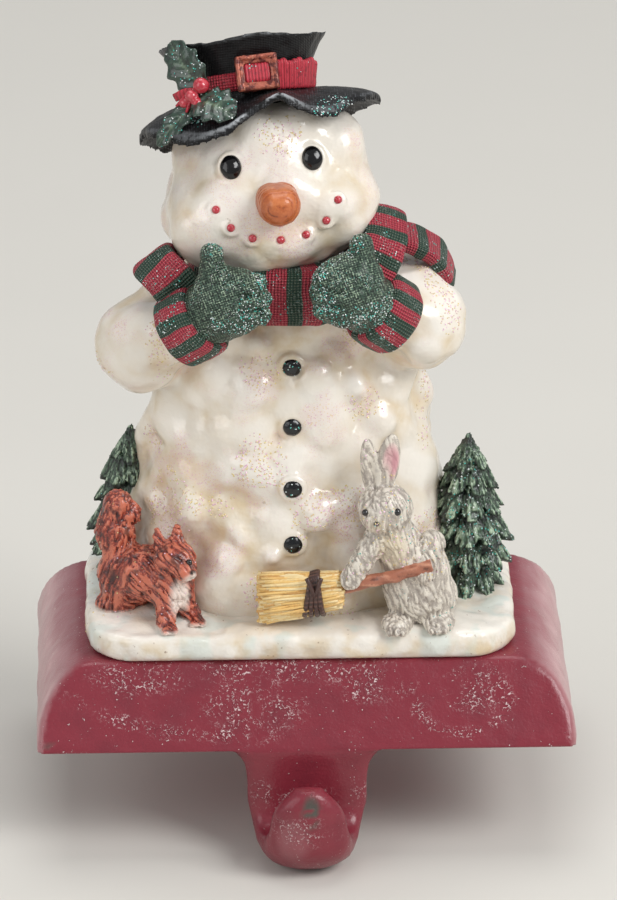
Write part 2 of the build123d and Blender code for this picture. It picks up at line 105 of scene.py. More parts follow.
def scramble(cells, seed):
    """Repeatable numbers from 0 to 1 for whole-number cells."""
    mixed = seed * SEED_FACTOR
    for axis, factor in enumerate(CELL_FACTORS):
        mixed = mixed + cells[..., axis] * factor
    mixed = mixed.astype(np.uint32)
    for shift, factor in BIT_STEPS:
        mixed = (mixed ^ (mixed >> np.uint32(shift))) * np.uint32(factor)
    mixed = (mixed ^ (mixed >> np.uint32(LAST_SHIFT))) & np.uint32(HASH_MASK)
    return mixed.astype(np.float64) / HASH_MASK


def grain(points, size, seed):
    """Smooth noise from -1 to 1 whose features have a size."""
    cells = points / size
    base = np.floor(cells).astype(np.int64)
    part = cells - base
    part = part * part * (3 - 2 * part)
    total = np.zeros(len(points))
    for corner in itertools.product((0, 1), repeat=3):
        weight = np.ones(len(points))
        for axis in range(3):
            weight = weight * (part[:, axis] if corner[axis] else 1 - part[:, axis])
        total += weight * scramble(base + np.array(corner), seed)
    return 2 * total - 1


def jitter(points, size, seed):
    """Three noises for each point, one along each axis."""
    return np.stack([grain(points, size, seed + axis) for axis in range(3)], axis=1)


def near(points, place, reach):
    """1 at a place, falling to 0 at a reach."""
    gap = np.linalg.norm((points - np.array(place)) / np.array(reach), axis=1)
    return np.clip(2.2 * (1 - gap), 0, 1)


def lumps(points, size, seed):
    """Rounded lumps of packed snow: near 1 on each lump and near 0 in the creases."""
    cells = points / size
    base = np.floor(cells).astype(np.int64)
    total = np.zeros(len(points))
    for offset in itertools.product((-1, 0, 1), repeat=3):
        cell = base + np.array(offset)
        middle = np.stack([scramble(cell, seed + axis) for axis in range(3)], axis=1)
        total += np.exp(-LUMP_TIGHTNESS * ((cells - cell - middle) ** 2).sum(axis=1))
    return np.clip(1 + np.log(total + 1e-9) / LUMP_SPREAD, 0, 1.2)


def without_crumbs(points, quads):
    """Leaves out the parts of a skin that have too few faces."""
    part = np.arange(len(points))
    settled = False
    while not settled:
        lowest = part.copy()
        np.minimum.at(lowest, quads, np.repeat(part[quads].min(axis=1)[:, None], 4, axis=1))
        lowest = lowest[lowest]
        settled = np.array_equal(lowest, part)
        part = lowest
    sizes = np.bincount(part[quads[:, 0]], minlength=len(points))
    kept = quads[sizes[part[quads[:, 0]]] >= CRUMB]
    used, places = np.unique(kept, return_inverse=True)
    return points[used], places.reshape(kept.shape)


class Clay:
    """Block of modelling clay, held as distances to the surface on a grid."""

    def __init__(self, low, high, cell):
        self.low = np.array(low, float)
        self.cell = cell
        counts = np.ceil((np.array(high) - self.low) / cell).astype(int) + 1
        self.lines = [
            (start + cell * np.arange(count)).astype(np.float32) for start, count in zip(self.low, counts)
        ]
        self.field = np.full(counts, FAR, np.float32)

    def press(self, low, high, form, blend=0.0, cut=False):
        """Adds a form that fits a box, or takes it away, with a soft seam."""
        margin = blend + 3 * self.cell
        spans = []
        for axis in range(3):
            ends = np.searchsorted(self.lines[axis], (low[axis] - margin, high[axis] + margin))
            spans.append(slice(*ends))
        x, y, z = (line[span] for line, span in zip(self.lines, spans))
        new = form(x[:, None, None], y[None, :, None], z[None, None, :])
        spans = tuple(spans)
        sign = -1 if cut else 1
        old = sign * self.field[spans]
        if blend:
            share = np.clip(0.5 + 0.5 * (old - new) / blend, 0, 1)
            joined = old + (new - old) * share - blend * share * (1 - share)
        else:
            joined = np.minimum(old, new)
        self.field[spans] = sign * joined

    def ball(self, middle, radii, blend=0.0, cut=False, turn=None):
        """Ball or egg; turn is a rotation matrix."""
        sizes = np.broadcast_to(radii, 3).astype(float)
        place = np.array(middle, float)
        rows = np.eye(3) if turn is None else np.array(turn.to_3x3()).T

        def form(x, y, z):
            offsets = (x - place[0], y - place[1], z - place[2])
            inner, outer = 0.0, 0.0
            for row, size in zip(rows, sizes):
                along = sum(share * offset for share, offset in zip(row, offsets))
                inner = inner + (along / size) ** 2
                outer = outer + (along / size**2) ** 2
            inner = np.sqrt(inner)
            return inner * (inner - 1) / (np.sqrt(outer) + 1e-6)

        self.press(place - max(sizes), place + max(sizes), form, blend, cut)

    def rod(self, start, end, start_radius, end_radius, blend=0.0, cut=False):
        """Tapered rod with round ends."""
        start, end = np.array(start, float), np.array(end, float)
        axis = end - start
        reach = max(start_radius, end_radius)

        def form(x, y, z):
            offsets = (x - start[0], y - start[1], z - start[2])
            share = sum(a * o for a, o in zip(axis, offsets)) / (axis @ axis)
            share = np.clip(share, 0, 1)
            gap = np.sqrt(sum((o - share * a) ** 2 for a, o in zip(axis, offsets)))
            return gap - (start_radius + (end_radius - start_radius) * share)

        self.press(np.minimum(start, end) - reach, np.maximum(start, end) + reach, form, blend, cut)

    def block(self, middle, halves, edge, blend=0.0, cut=False):
        """Block with rounded edges."""
        place, halves = np.array(middle, float), np.array(halves, float)

        def form(x, y, z):
            over = [np.abs(v - p) - h + edge for v, p, h in zip((x, y, z), place, halves)]
            outside = np.sqrt(sum(np.maximum(o, 0) ** 2 for o in over))
            return outside + np.minimum(np.maximum(np.maximum(over[0], over[1]), over[2]), 0) - edge

        self.press(place - halves, place + halves, form, blend, cut)

    def rough(self, height):
        """Raises the surface by a height that is given for points."""
        close = np.abs(self.field) < ROUGH_REACH
        points = self.low + self.cell * np.argwhere(close)
        self.field[close] -= height(points).astype(np.float32)

    def level(self, height):
        """Slices off what stands above a height."""
        self.field[:, :, self.lines[2] > height] = FAR

    def front(self, across, height):
        """Place of the surface's front at a place across and a height."""
        column = np.searchsorted(self.lines[0], across)
        row = np.searchsorted(self.lines[2], height)
        depth = np.argmax(self.field[column, :, row] < 0)
        return np.array((across, self.lines[1][depth], height), float)

    def skin(self):
        """Points and quads of the surface, without loose crumbs."""
        grid = openvdb.FloatGrid(FAR)
        grid.copyFromArray(self.field)
        points, quads = without_crumbs(*grid.convertToQuads(0.0))
        points = self.low + self.cell * points.astype(float)
        a, b, c, d = (points[quads[:, corner]] for corner in range(4))
        volume = (np.cross(b - a, c - a) * a).sum() + (np.cross(c - a, d - a) * a).sum()
        return points, quads[:, ::-1] if volume < 0 else quads


# Meshes from rings

def tube(rings, closed=False):
    """Points and faces of a skin over rings; it has two end caps unless it closes on itself."""
    count, around = rings.shape[:2]
    faces = []
    for ring in range(count if closed else count - 1):
        after = (ring + 1) % count
        for step in range(around):
            beside = (step + 1) % around
            here, there = ring * around, after * around
            faces.append((here + step, here + beside, there + beside, there + step))
    if not closed:
        faces.append(tuple(reversed(range(around))))
        faces.append(tuple(range((count - 1) * around, count * around)))
    return rings.reshape(-1, 3), faces


def smooth_route(places, steps):
    """Points along a smooth curve through places."""
    places = np.array(places, float)
    padded = np.vstack([2 * places[0] - places[1], places, 2 * places[-1] - places[-2]])
    shares = np.linspace(0, len(places) - 1, steps)
    points = []
    for share in shares:
        leg = min(int(share), len(places) - 2)
        t = share - leg
        p0, p1, p2, p3 = padded[leg : leg + 4]
        slope = p2 - p0
        bend = 2 * p0 - 5 * p1 + 4 * p2 - p3
        twist = 3 * p1 - p0 - 3 * p2 + p3
        points.append(0.5 * (2 * p1 + slope * t + bend * t**2 + twist * t**3))
    return np.array(points)


def flat_section(width, thickness, around, squareness):
    """Places across and through the rounded section of a strap; squareness 2 gives an oval."""
    turn = np.linspace(0, FULL_TURN, around, endpoint=False)
    power = 2 / squareness
    wide = np.sign(np.cos(turn)) * np.abs(np.cos(turn)) ** power * width / 2
    deep = np.sign(np.sin(turn)) * np.abs(np.sin(turn)) ** power * thickness / 2
    return wide[None, :, None], deep[None, :, None]


def strap_rings(route, side, width, thickness, around=28, squareness=4.0):
    """Rings of a flat strap along a route, wide along a side direction."""
    ahead = np.gradient(route, axis=0)
    ahead /= np.linalg.norm(ahead, axis=1)[:, None]
    side = np.broadcast_to(np.array(side, float), route.shape)
    face = np.cross(ahead, side)
    face /= np.linalg.norm(face, axis=1)[:, None]
    across = np.cross(face, ahead)
    wide, deep = flat_section(width, thickness, around, squareness)
    return route[:, None, :] + across[:, None, :] * wide + face[:, None, :] * deep


def ring_rings(middle, axis, start, radii, width, thickness, steps=120, around=28, squareness=3.5):
    """Rings of a closed collar about an axis; start is the direction of its first ring."""
    axis = Vector(axis).normalized()
    first = (Vector(start) - axis * Vector(start).dot(axis)).normalized()
    second = axis.cross(first)
    turn = np.linspace(0, FULL_TURN, steps, endpoint=False)
    ahead = np.cos(turn)[:, None] * np.array(first)
    aside = np.sin(turn)[:, None] * np.array(second)
    out = ahead + aside
    centre = np.array(middle, float) + (ahead * radii[0] + aside * radii[1])
    wide, deep = flat_section(width, thickness, around, squareness)
    return centre[:, None, :] + np.array(axis)[None, None, :] * wide + out[:, None, :] * deep


def ring_lengths(rings):
    """Length along the rings and around each ring, for every point."""
    middles = rings.mean(axis=1)
    along = np.concatenate([[0], np.cumsum(np.linalg.norm(np.diff(middles, axis=0), axis=1))])
    steps = np.linalg.norm(np.diff(rings, axis=1), axis=2)
    around = np.concatenate([np.zeros((len(rings), 1)), np.cumsum(steps, axis=1)], axis=1)
    return np.repeat(along, rings.shape[1]), around.reshape(-1)


def uneven(rings, depth, size, seed):
    """Rings whose surface is shaken by noise."""
    flat = rings.reshape(-1, 3)
    return (flat + depth * jitter(flat, size, seed)).reshape(rings.shape)


def merged(parts):
    """One set of points and faces from several."""
    points, faces, total = [], [], 0
    for part_points, part_faces in parts:
        points.append(np.asarray(part_points))
        faces += [tuple(int(corner) + total for corner in face) for face in part_faces]
        total += len(part_points)
    return np.vstack(points), faces


def add_piece(
    name, points, faces, material, placement=FOOT_FRAME, node="figure", slot="painted_resin", **marks
):
    """Makes a mesh piece in the CAD frame that stands for a node; marks are values for its points."""
    matrix = np.array(placement)
    world = np.asarray(points) @ matrix[:3, :3].T + matrix[:3, 3]
    mesh = bpy.data.meshes.new(name)
    faces = faces.tolist() if isinstance(faces, np.ndarray) else faces
    mesh.from_pydata((world * MM).tolist(), [], faces)
    mesh.shade_smooth()
    for mark, values in marks.items():
        layer = mesh.attributes.new(mark, "FLOAT", "POINT")
        layer.data.foreach_set("value", np.asarray(values, np.float32))
    mesh.materials.append(material)
    piece = bpy.data.objects.new(name, mesh)
    bpy.context.scene.collection.objects.link(piece)
    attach(piece, "root")
    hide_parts(node)


# Washes, lights and flakes that are mixed into the paints

SNOW_SPECK = srgb(150, 122, 96)
PINK_FLAKE = srgb(222, 166, 190)
GOLD_FLAKE = srgb(232, 202, 138)
BLUE_WASH = srgb(208, 224, 218)
GROUND_SPECK = srgb(134, 98, 66)
BERRY_LIGHT = srgb(214, 96, 104)
BUTTON_BLACK = srgb(12, 14, 17)
BUTTON_STREAK = srgb(26, 32, 35)
EYE_BLACK = srgb(10, 9, 11)
EYE_STREAK = srgb(22, 21, 24)
CARROT_GROOVE = srgb(124, 58, 28)
CARROT_LIGHT = srgb(206, 122, 70)
FELT_RUB = srgb(92, 94, 98)
FELT_EDGE = srgb(190, 194, 198)
RIBBON_SHADOW = srgb(150, 38, 50)
RIBBON_HIGHLIGHT = srgb(216, 96, 110)
RIBBON_STAIN = srgb(96, 20, 32)
COPPER_DARK = srgb(96, 38, 34)
COPPER_HIGHLIGHT = srgb(226, 160, 130)
LEAF_RIB = srgb(106, 128, 104)
LEAF_SHADOW = srgb(14, 22, 18)
KNIT_SHADOW = srgb(16, 20, 18)
KNIT_HIGHLIGHT = srgb(226, 206, 190)
KNIT_TEAL_FLAKE = srgb(170, 214, 206)
KNIT_SILVER_FLAKE = srgb(240, 240, 235)
MITTEN_SHADOW = srgb(16, 29, 23)
MITTEN_SAGE = srgb(182, 202, 174)
MITTEN_TEAL_FLAKE = srgb(140, 216, 200)
MITTEN_SILVER_FLAKE = srgb(240, 244, 240)
FUR_PINK = srgb(222, 158, 168)
FUR_DARK = srgb(30, 26, 26)
SQUIRREL_GROOVE = srgb(50, 18, 21)
SQUIRREL_RIDGE = srgb(214, 120, 92)
SQUIRREL_BELLY = srgb(242, 230, 220)
RABBIT_GROOVE = srgb(128, 118, 114)
RABBIT_RIDGE = srgb(236, 228, 214)
RABBIT_BELLY = srgb(224, 206, 170)
BEAD_BLACK = srgb(18, 16, 16)
BEAD_STREAK = srgb(40, 36, 36)
STRAW_SHADOW = srgb(206, 150, 84)
STRAW_LIGHT = srgb(250, 228, 176)
TWINE = srgb(70, 45, 40)
TWINE_SHADOW = srgb(34, 22, 20)
TWINE_LIGHT = srgb(112, 78, 66)
BARK_SHADOW = srgb(92, 52, 40)
BARK_LIGHT = srgb(206, 146, 118)
FIR_SHADOW = srgb(16, 27, 21)
FIR_LIGHT = srgb(178, 200, 172)
IRON_SHEEN = srgb(214, 172, 174)
IRON_GLINT = srgb(240, 216, 216)
IRON_PALE_SPECK = srgb(234, 214, 212)
IRON_BARE = srgb(98, 94, 88)
STEEL = srgb(170, 170, 168)
STEEL_SHADE = srgb(120, 120, 118)
FROST_TEAL = srgb(90, 206, 192)
FROST_WHITE = srgb(246, 250, 250)
PEARL_GOLD = srgb(250, 230, 168)
PEARL_PINK = srgb(252, 214, 236)


# Paints

class Shade:
    """A shader socket that takes part in Python expressions."""

    def __init__(self, paint, socket):
        self.paint = paint
        self.socket = socket

    def maths(self, operation, first, second):
        return self.paint.node("ShaderNodeMath", {"operation": operation}, {0: first, 1: second})

    def __add__(self, other):
        return self.maths("ADD", self, other)

    def __sub__(self, other):
        return self.maths("SUBTRACT", self, other)

    def __mul__(self, other):
        return self.maths("MULTIPLY", self, other)

    def __gt__(self, other):
        return self.maths("GREATER_THAN", self, other)

    def __lt__(self, other):
        return self.maths("LESS_THAN", self, other)

    def __rsub__(self, other):
        return self.maths("SUBTRACT", other, self)

    __radd__ = __add__
    __rmul__ = __mul__

    def sine(self):
        return self.maths("SINE", self, 0.0)

    def magnitude(self):
        return self.maths("ABSOLUTE", self, 0.0)

    def ramp(self, low, high):
        """0 below low, 1 above high and smooth between them."""
        return self.paint.node(
            "ShaderNodeMapRange",
            {"interpolation_type": "SMOOTHSTEP"},
            {"Value": self, "From Min": low, "From Max": high},
        )


class Paint:
    """A procedural material being mixed."""

    def __init__(self, name):
        self.material = bpy.data.materials.new(name)
        self.material.use_nodes = True
        self.tree = self.material.node_tree
        self.shader = self.tree.nodes["Principled BSDF"]
        self.place = self.node("ShaderNodeTexCoord", {}, {}, "Object")

    def feed(self, socket, value):
        """Links a shade to a socket, or sets the socket's value."""
        if isinstance(value, Shade):
            self.tree.links.new(value.socket, socket)
        elif socket.type == "RGBA" and len(value) == 3:
            socket.default_value = (*value, 1.0)
        else:
            socket.default_value = value

    def node(self, kind, settings, sockets, output=0):
        """Adds a node: its settings first, then values or links for its sockets."""
        node = self.tree.nodes.new(kind)
        for key, value in settings.items():
            setattr(node, key, value)
        for key, value in sockets.items():
            self.feed(node.inputs[key], value)
        return Shade(self, node.outputs[output])

    def stretched(self, shares):
        """Object coordinates scaled along each axis."""
        return self.node("ShaderNodeVectorMath", {"operation": "MULTIPLY"}, {0: self.place, 1: shares})

    def noise(self, size, detail=2.0, place=None):
        sockets = {"Vector": place or self.place, "Scale": 1 / (size * MM), "Detail": detail}
        return self.node("ShaderNodeTexNoise", {}, sockets)

    def cells(self, size, output=0):
        sockets = {"Vector": self.place, "Scale": 1 / (size * MM)}
        return self.node("ShaderNodeTexVoronoi", {}, sockets, output)

    def weave(self, first, second):
        """Crossing threads from -1 to 1; first and second are angles per metre along the axes."""
        waves = []
        for angles in (first, second):
            sockets = {0: self.place, 1: angles}
            wave = self.node("ShaderNodeVectorMath", {"operation": "DOT_PRODUCT"}, sockets, "Value")
            waves.append(wave.sine())
        return 0.5 * (waves[0] + waves[1])

    def mark(self, name):
        """Values stored on the piece's points."""
        return self.node("ShaderNodeAttribute", {"attribute_name": name}, {}, "Fac")

    def mix(self, first, second, share):
        """Colour between two colours."""
        sockets = {0: share, MIX_FIRST: first, MIX_SECOND: second}
        return self.node("ShaderNodeMix", {"data_type": "RGBA"}, sockets, MIX_RESULT)

    def flakes(self, size, rarity):
        """Mask of small round glitter flakes, and a random value for each."""
        spread = self.cells(size, "Color")
        pick = self.node("ShaderNodeSeparateColor", {}, {0: spread}, 0)
        hue = self.node("ShaderNodeSeparateColor", {}, {0: spread}, 1)
        return (pick > rarity) * (self.cells(size) < FLAKE_SHARE), hue

    def finish(self, colour, roughness, height=None, depth=0.1, metallic=0.0, coat=0.0, specular=0.5):
        """Sets the shader's sockets and returns the material."""
        sockets = self.shader.inputs
        self.feed(sockets["Base Color"], colour)
        self.feed(sockets["Roughness"], roughness)
        self.feed(sockets["Metallic"], metallic)
        self.feed(sockets["Coat Weight"], coat)
        sockets["Coat Roughness"].default_value = COAT_ROUGHNESS
        sockets["Specular IOR Level"].default_value = specular
        if height is not None:
            bump = self.node("ShaderNodeBump", {}, {"Height": height, "Distance": depth * MM})
            self.feed(sockets["Normal"], bump)
        return self.material


def snow_paint(colours):
    """Varnished cream paint, yellowed between the lumps by age and by painted shade, with pink and gold
    glitter in patches.
    """
    paint = Paint("snow_paint")
    # yellowed colour that is both the real ageing and painted shade
    aged_and_shaded = paint.mark("age") * (0.4 + 0.6 * paint.noise(5.0, 4.0).ramp(0.35, 0.7))
    colour = paint.mix(colours.snow, colours.aged_and_shaded_snow, aged_and_shaded)
    patch = paint.noise(8.0, 2.0).ramp(0.44, 0.62) * paint.mark("blush")
    colour = paint.mix(colour, colours.blush, patch * 0.35)
    speck = paint.noise(2.6, 4.0).ramp(0.72, 0.78)
    colour = paint.mix(colour, SNOW_SPECK, speck * 0.4)
    flake, hue = paint.flakes(0.36, 0.5)
    tint = paint.mix(PINK_FLAKE, GOLD_FLAKE, hue.ramp(0.45, 0.6))
    shine = flake * patch
    colour = paint.mix(colour, tint, shine * 0.75)
    ripples = paint.noise(3.2, 2.0) + 0.1 * paint.noise(0.8, 2.0)
    return paint.finish(colour, 0.28, ripples, 0.3, metallic=shine * 0.2, coat=0.8)


def slab_paint(colours):
    """Cream snow with pale blue and yellow washes and small brown specks."""
    paint = Paint("snow_ground_paint")
    wash = paint.noise(7.0, 2.0, paint.stretched((1.0, 1.0, 0.35)))
    aged_and_shaded = paint.mark("age") * paint.noise(6.0, 3.0).ramp(0.35, 0.65)
    colour = paint.mix(colours.snow, colours.aged_and_shaded_snow, aged_and_shaded)
    colour = paint.mix(colour, BLUE_WASH, wash.ramp(0.5, 0.66) * 0.5)
    speck = paint.noise(1.6, 5.0).ramp(0.67, 0.74)
    colour = paint.mix(colour, GROUND_SPECK, speck * 0.6)
    ripples = paint.noise(2.6, 4.0) + 0.4 * paint.noise(0.8, 2.0)
    return paint.finish(colour, 0.34, ripples, 0.25, coat=0.6)


def gloss_paint(name, colour, streak, roughness=0.16, coat=0.8):
    """Thick glossy paint with faint streaks."""
    paint = Paint(name)
    tone = paint.mix(colour, streak, paint.noise(1.2, 3.0).ramp(0.45, 0.8))
    return paint.finish(tone, roughness, paint.noise(0.72, 3.0), 0.05, coat=coat)


def berry_paint(name, colours):
    """Glossy red with lighter streaks."""
    return gloss_paint(name, colours.berry, BERRY_LIGHT, 0.2)


def hat_paint(colours):
    """Black woven felt, greyer on the brim, with a pale grey line along the front of the brim's rim and
    round the crown's top.
    """
    paint = Paint("hat_paint")
    weave = paint.weave((10500.0, 0, 0), (0, 10500.0, 10500.0))
    rubbed = paint.noise(0.9, 3.0).ramp(0.45, 0.68) * weave.ramp(-0.2, 0.9)
    colour = paint.mix(colours.hat, FELT_RUB, rubbed * paint.mark("brim"))
    edge = paint.mark("edge") * paint.noise(1.2, 3.0).ramp(0.3, 0.46)
    colour = paint.mix(colour, FELT_EDGE, edge)
    height = 0.3 * weave + paint.noise(1.2, 3.0)
    return paint.finish(colour, 0.42 + 0.2 * edge, height, 0.12, coat=0.05, specular=0.28)


def knit_paint(name, colours, turnover):
    """Knitted stripes that follow the stored length along and around; turnover is where red starts."""
    paint = Paint(name)
    along, around = paint.mark("along"), paint.mark("around")
    stripe = paint.mark("stripe") + 0.3 * paint.noise(2.2, 2.0)
    red = stripe.sine().ramp(turnover - 0.1, turnover + 0.1)
    rows = (along * KNIT_RATE).sine() + (around * KNIT_RATE).sine()
    colour = paint.mix(colours.knit_green, colours.knit_red, red)
    # shaded and lit copies of the stripe colour: painted shade between the stitches and painted highlights
    # on their tops
    shadow = paint.mix(colour, KNIT_SHADOW, 0.55)
    light = paint.mix(colour, KNIT_HIGHLIGHT, 0.3)
    colour = paint.mix(shadow, colour, (rows + 2.0 * paint.noise(1.1, 3.0)).ramp(-0.8, 1.2))
    colour = paint.mix(colour, light, (rows + paint.noise(0.9, 3.0)).ramp(1.4, 2.6))
    flake, hue = paint.flakes(0.24, 0.8)
    tint = paint.mix(KNIT_TEAL_FLAKE, KNIT_SILVER_FLAKE, hue.ramp(0.3, 0.7))
    shine = flake * paint.noise(6.0, 2.0).ramp(0.46, 0.6)
    colour = paint.mix(colour, tint, shine)
    height = rows + 1.5 * paint.noise(0.7, 3.0)
    return paint.finish(colour, 0.5 - 0.25 * shine, height, 0.2, metallic=shine * 0.4)


def mitten_paint(colours):
    """Dark green knit with painted shade between the stitches, dry brushed with sage on the stitch tops and
    more on faces that point up as a painted highlight, under silver and teal glitter.
    """
    paint = Paint("mitten_paint")
    stitches = paint.weave((9800.0, 0, 3900.0), (-3500.0, 4800.0, 9800.0))
    loops = 0.3 * stitches + 2.3 * paint.noise(0.55, 3.0) - 1.15
    # painted shade between the stitches
    colour = paint.mix(MITTEN_SHADOW, colours.mitten, loops.ramp(-0.45, 0.2))
    # sage on the stitch tops, more on faces that point up: partly dry brushing and partly painted highlight
    sage = loops.ramp(0.0, 0.55) * (paint.mark("edge") * paint.noise(2.2, 3.0).ramp(0.3, 0.6))
    colour = paint.mix(colour, MITTEN_SAGE, sage)
    flake, hue = paint.flakes(0.26, 0.78)
    tint = paint.mix(MITTEN_TEAL_FLAKE, MITTEN_SILVER_FLAKE, hue.ramp(0.3, 0.6))
    shine = flake * paint.noise(5.0, 2.0).ramp(0.46, 0.58)
    colour = paint.mix(colour, tint, shine)
    return paint.finish(colour, 0.42 - 0.2 * shine, loops, 0.34, metallic=shine * 0.3, coat=0.15)


def fur_paint(name, fur, groove, ridge, belly, wash):
    """Painted fur: dark wash in the grooves, light dry brushing on the ridges and a paler belly."""
    paint = Paint(name)
    strand = paint.mark("strand")
    fine = paint.noise(0.35, 4.0)
    colour = paint.mix(fur, groove, (1 - (strand + 1.0 * fine - 0.5).ramp(0.0, 0.55)) * wash)
    colour = paint.mix(colour, ridge, (strand + 1.2 * fine - 0.6).ramp(0.5, 0.85) * 0.85)
    colour = paint.mix(colour, groove, paint.noise(2.6, 3.0).ramp(0.5, 0.66) * (0.75 * wash))
    pale = paint.mark("belly")
    colour = paint.mix(colour, paint.mix(belly, fur, (1 - strand.ramp(0.05, 0.4)) * 0.5), pale)
    colour = paint.mix(colour, FUR_PINK, paint.mark("pink"))
    colour = paint.mix(colour, FUR_DARK, paint.mark("dark"))
    return paint.finish(colour, 0.34, strand + 0.8 * fine, 0.16, coat=0.45)


def straw_paint(name, straw, shadow, light):
    """Straw or bark with dark grooves and light ridges along the strands."""
    paint = Paint(name)
    strand = paint.mark("strand") + 0.5 * paint.noise(0.5, 3.0) - 0.25
    colour = paint.mix(straw, light, strand.ramp(0.45, 0.9))
    colour = paint.mix(colour, shadow, (1 - strand.ramp(0.05, 0.35)) * 0.8)
    colour = paint.mix(colour, shadow, paint.noise(1.2, 4.0).ramp(0.56, 0.8) * 0.5)
    return paint.finish(colour, 0.4, strand, 0.12, coat=0.3)


def fir_paint(colours):
    """Dark green needles with light dry brushing on the ridges, and painted shade under each tier."""
    paint = Paint("fir_paint")
    streak = paint.noise(0.4, 2.0, paint.stretched((1.0, 1.0, 0.22)))
    strand = 0.7 * paint.mark("strand") + 1.1 * streak - 0.4
    # dark where the strand is low: the carved grooves and the painted shade under each tier
    colour = paint.mix(FIR_SHADOW, colours.fir, strand.ramp(0.22, 0.6))
    brushed = strand.ramp(0.58, 0.95) * paint.noise(4.0, 2.0).ramp(0.25, 0.55)
    colour = paint.mix(colour, FIR_LIGHT, brushed)
    return paint.finish(colour, 0.38, strand, 0.3, coat=0.4)


def leaf_paint(colours):
    """Glossy dark green with paler midribs and veins."""
    paint = Paint("holly_paint")
    rib = paint.mark("rib")
    colour = paint.mix(colours.holly, LEAF_RIB, rib * paint.noise(1.0, 3.0).ramp(0.3, 0.6))
    colour = paint.mix(colour, LEAF_SHADOW, paint.noise(1.6, 3.0).ramp(0.46, 0.66) * 0.75)
    return paint.finish(colour, 0.3, paint.noise(0.7, 3.0), 0.2, coat=0.7)


def copper_paint(colours):
    """Copper leaf over red, darker in patches, with small lighter spots that are painted highlights."""
    paint = Paint("copper_paint")
    colour = paint.mix(colours.buckle, COPPER_DARK, paint.noise(1.3, 4.0).ramp(0.42, 0.6))
    # painted highlights in small spots
    colour = paint.mix(colour, COPPER_HIGHLIGHT, paint.noise(0.7, 3.0).ramp(0.6, 0.74) * 0.8)
    return paint.finish(colour, 0.4, paint.noise(0.6, 3.0), 0.2, metallic=0.35, coat=0.2)


def iron_paint(colours):
    """Maroon enamel brushed over rough cast iron, with rough squiggles of the brush carrying painted
    highlights, a painted sheen on the ends and the hook's tongue, and chips.
    """
    paint = Paint("iron_paint")
    mottled = paint.noise(9.0, 4.0).ramp(0.4, 0.7)
    colour = paint.mix(colours.iron, colours.iron_shade, mottled * 0.5)
    # painted reflection: lighter pink on the ends that face sideways and on the hook's tongue
    colour = paint.mix(colour, IRON_SHEEN, paint.mark("sheen") * (0.5 + 0.3 * mottled))
    fine = 1 - (paint.noise(0.9, 2.0) - 0.5).magnitude().ramp(0.015, 0.05)
    broad = 1 - (paint.noise(2.4, 3.0) - 0.5).magnitude().ramp(0.008, 0.024)
    broken = paint.noise(0.6, 3.0).ramp(0.48, 0.58)
    rough = (fine * paint.noise(2.0, 3.0).ramp(0.45, 0.6) + broad) * paint.mark("scuff")
    # painted highlights along the brush's squiggles
    colour = paint.mix(colour, IRON_GLINT, rough * broken * 0.8)
    # small pale specks in patches
    pale_specks = paint.noise(0.7, 1.0).ramp(0.72, 0.76) * paint.noise(5.0, 2.0).ramp(0.35, 0.55)
    colour = paint.mix(colour, IRON_PALE_SPECK, pale_specks * 0.7)
    chip = paint.mark("chip")
    colour = paint.mix(colour, IRON_BARE, chip)
    height = paint.noise(3.5, 4.0) + 0.5 * paint.noise(0.6, 3.0) + 0.5 * rough + pale_specks - chip
    roughness = 0.32 + 0.1 * mottled
    return paint.finish(colour, roughness, height, 0.2, metallic=chip * 0.6, coat=0.25, specular=0.4)


def steel_paint():
    """Zinc-plated steel with fine turning marks."""
    paint = Paint("zinc_steel_finish")
    ring = paint.noise(0.5, 2.0, paint.stretched((0.3, 0.3, 4.0)))
    colour = paint.mix(STEEL, STEEL_SHADE, paint.noise(2.0, 3.0).ramp(0.4, 0.7))
    return paint.finish(colour, 0.34 + 0.2 * ring, ring, 0.03, metallic=1.0)


def glitter_paint(name, first, second, metallic):
    """Flakes whose colours run between two tints."""
    paint = Paint(name)
    tint = paint.mark("tint")
    colour = paint.mix(first, second, tint.ramp(0.2, 0.8))
    return paint.finish(colour, 0.2 + 0.1 * tint, metallic=metallic, coat=0.5)


# Snow

def snow_marks(points, normals, packing, age_and_shade_weight, seed):
    """How aged and how darkened by painted shade, and how blushed, the snow is at each point; packing is 1
    on a lump and less beside it.
    """
    # yellower towards the sides, more on the left
    side = np.abs(normals[:, 0] - 0.15) ** 3
    # painted shade on what faces down
    under = np.clip(-normals[:, 2], 0, 1)
    # yellow in the creases between the lumps: partly the real wash and partly painted shade
    creases = np.clip(0.71 - packing, 0, 1)
    age = age_and_shade_weight * (0.75 * side + 1.9 * creases + 0.3 * under + 0.3 * grain(points, 12.0, seed)) + 0.06
    blush = 0.4 + 1.2 * grain(points, 13.0, seed + 3)
    return {"age": np.clip(age, 0, 1), "blush": np.clip(blush, 0, 1)}


def skin_normals(points, quads):
    """Unit normals at the points of a skin."""
    a, b, c, d = (points[quads[:, corner]] for corner in range(4))
    face = np.cross(c - a, d - b)
    normals = np.zeros_like(points)
    for corner in range(4):
        np.add.at(normals, quads[:, corner], face)
    return normals / (np.linalg.norm(normals, axis=1)[:, None] + 1e-12)


def add_clay(name, clay, material, placement=FOOT_FRAME, marks=None):
    """Makes a piece from a block of clay; marks is a function of its points and normals."""
    points, quads = clay.skin()
    found = marks(points, skin_normals(points, quads)) if marks else {}
    add_piece(name, points, quads, material, placement, **found)


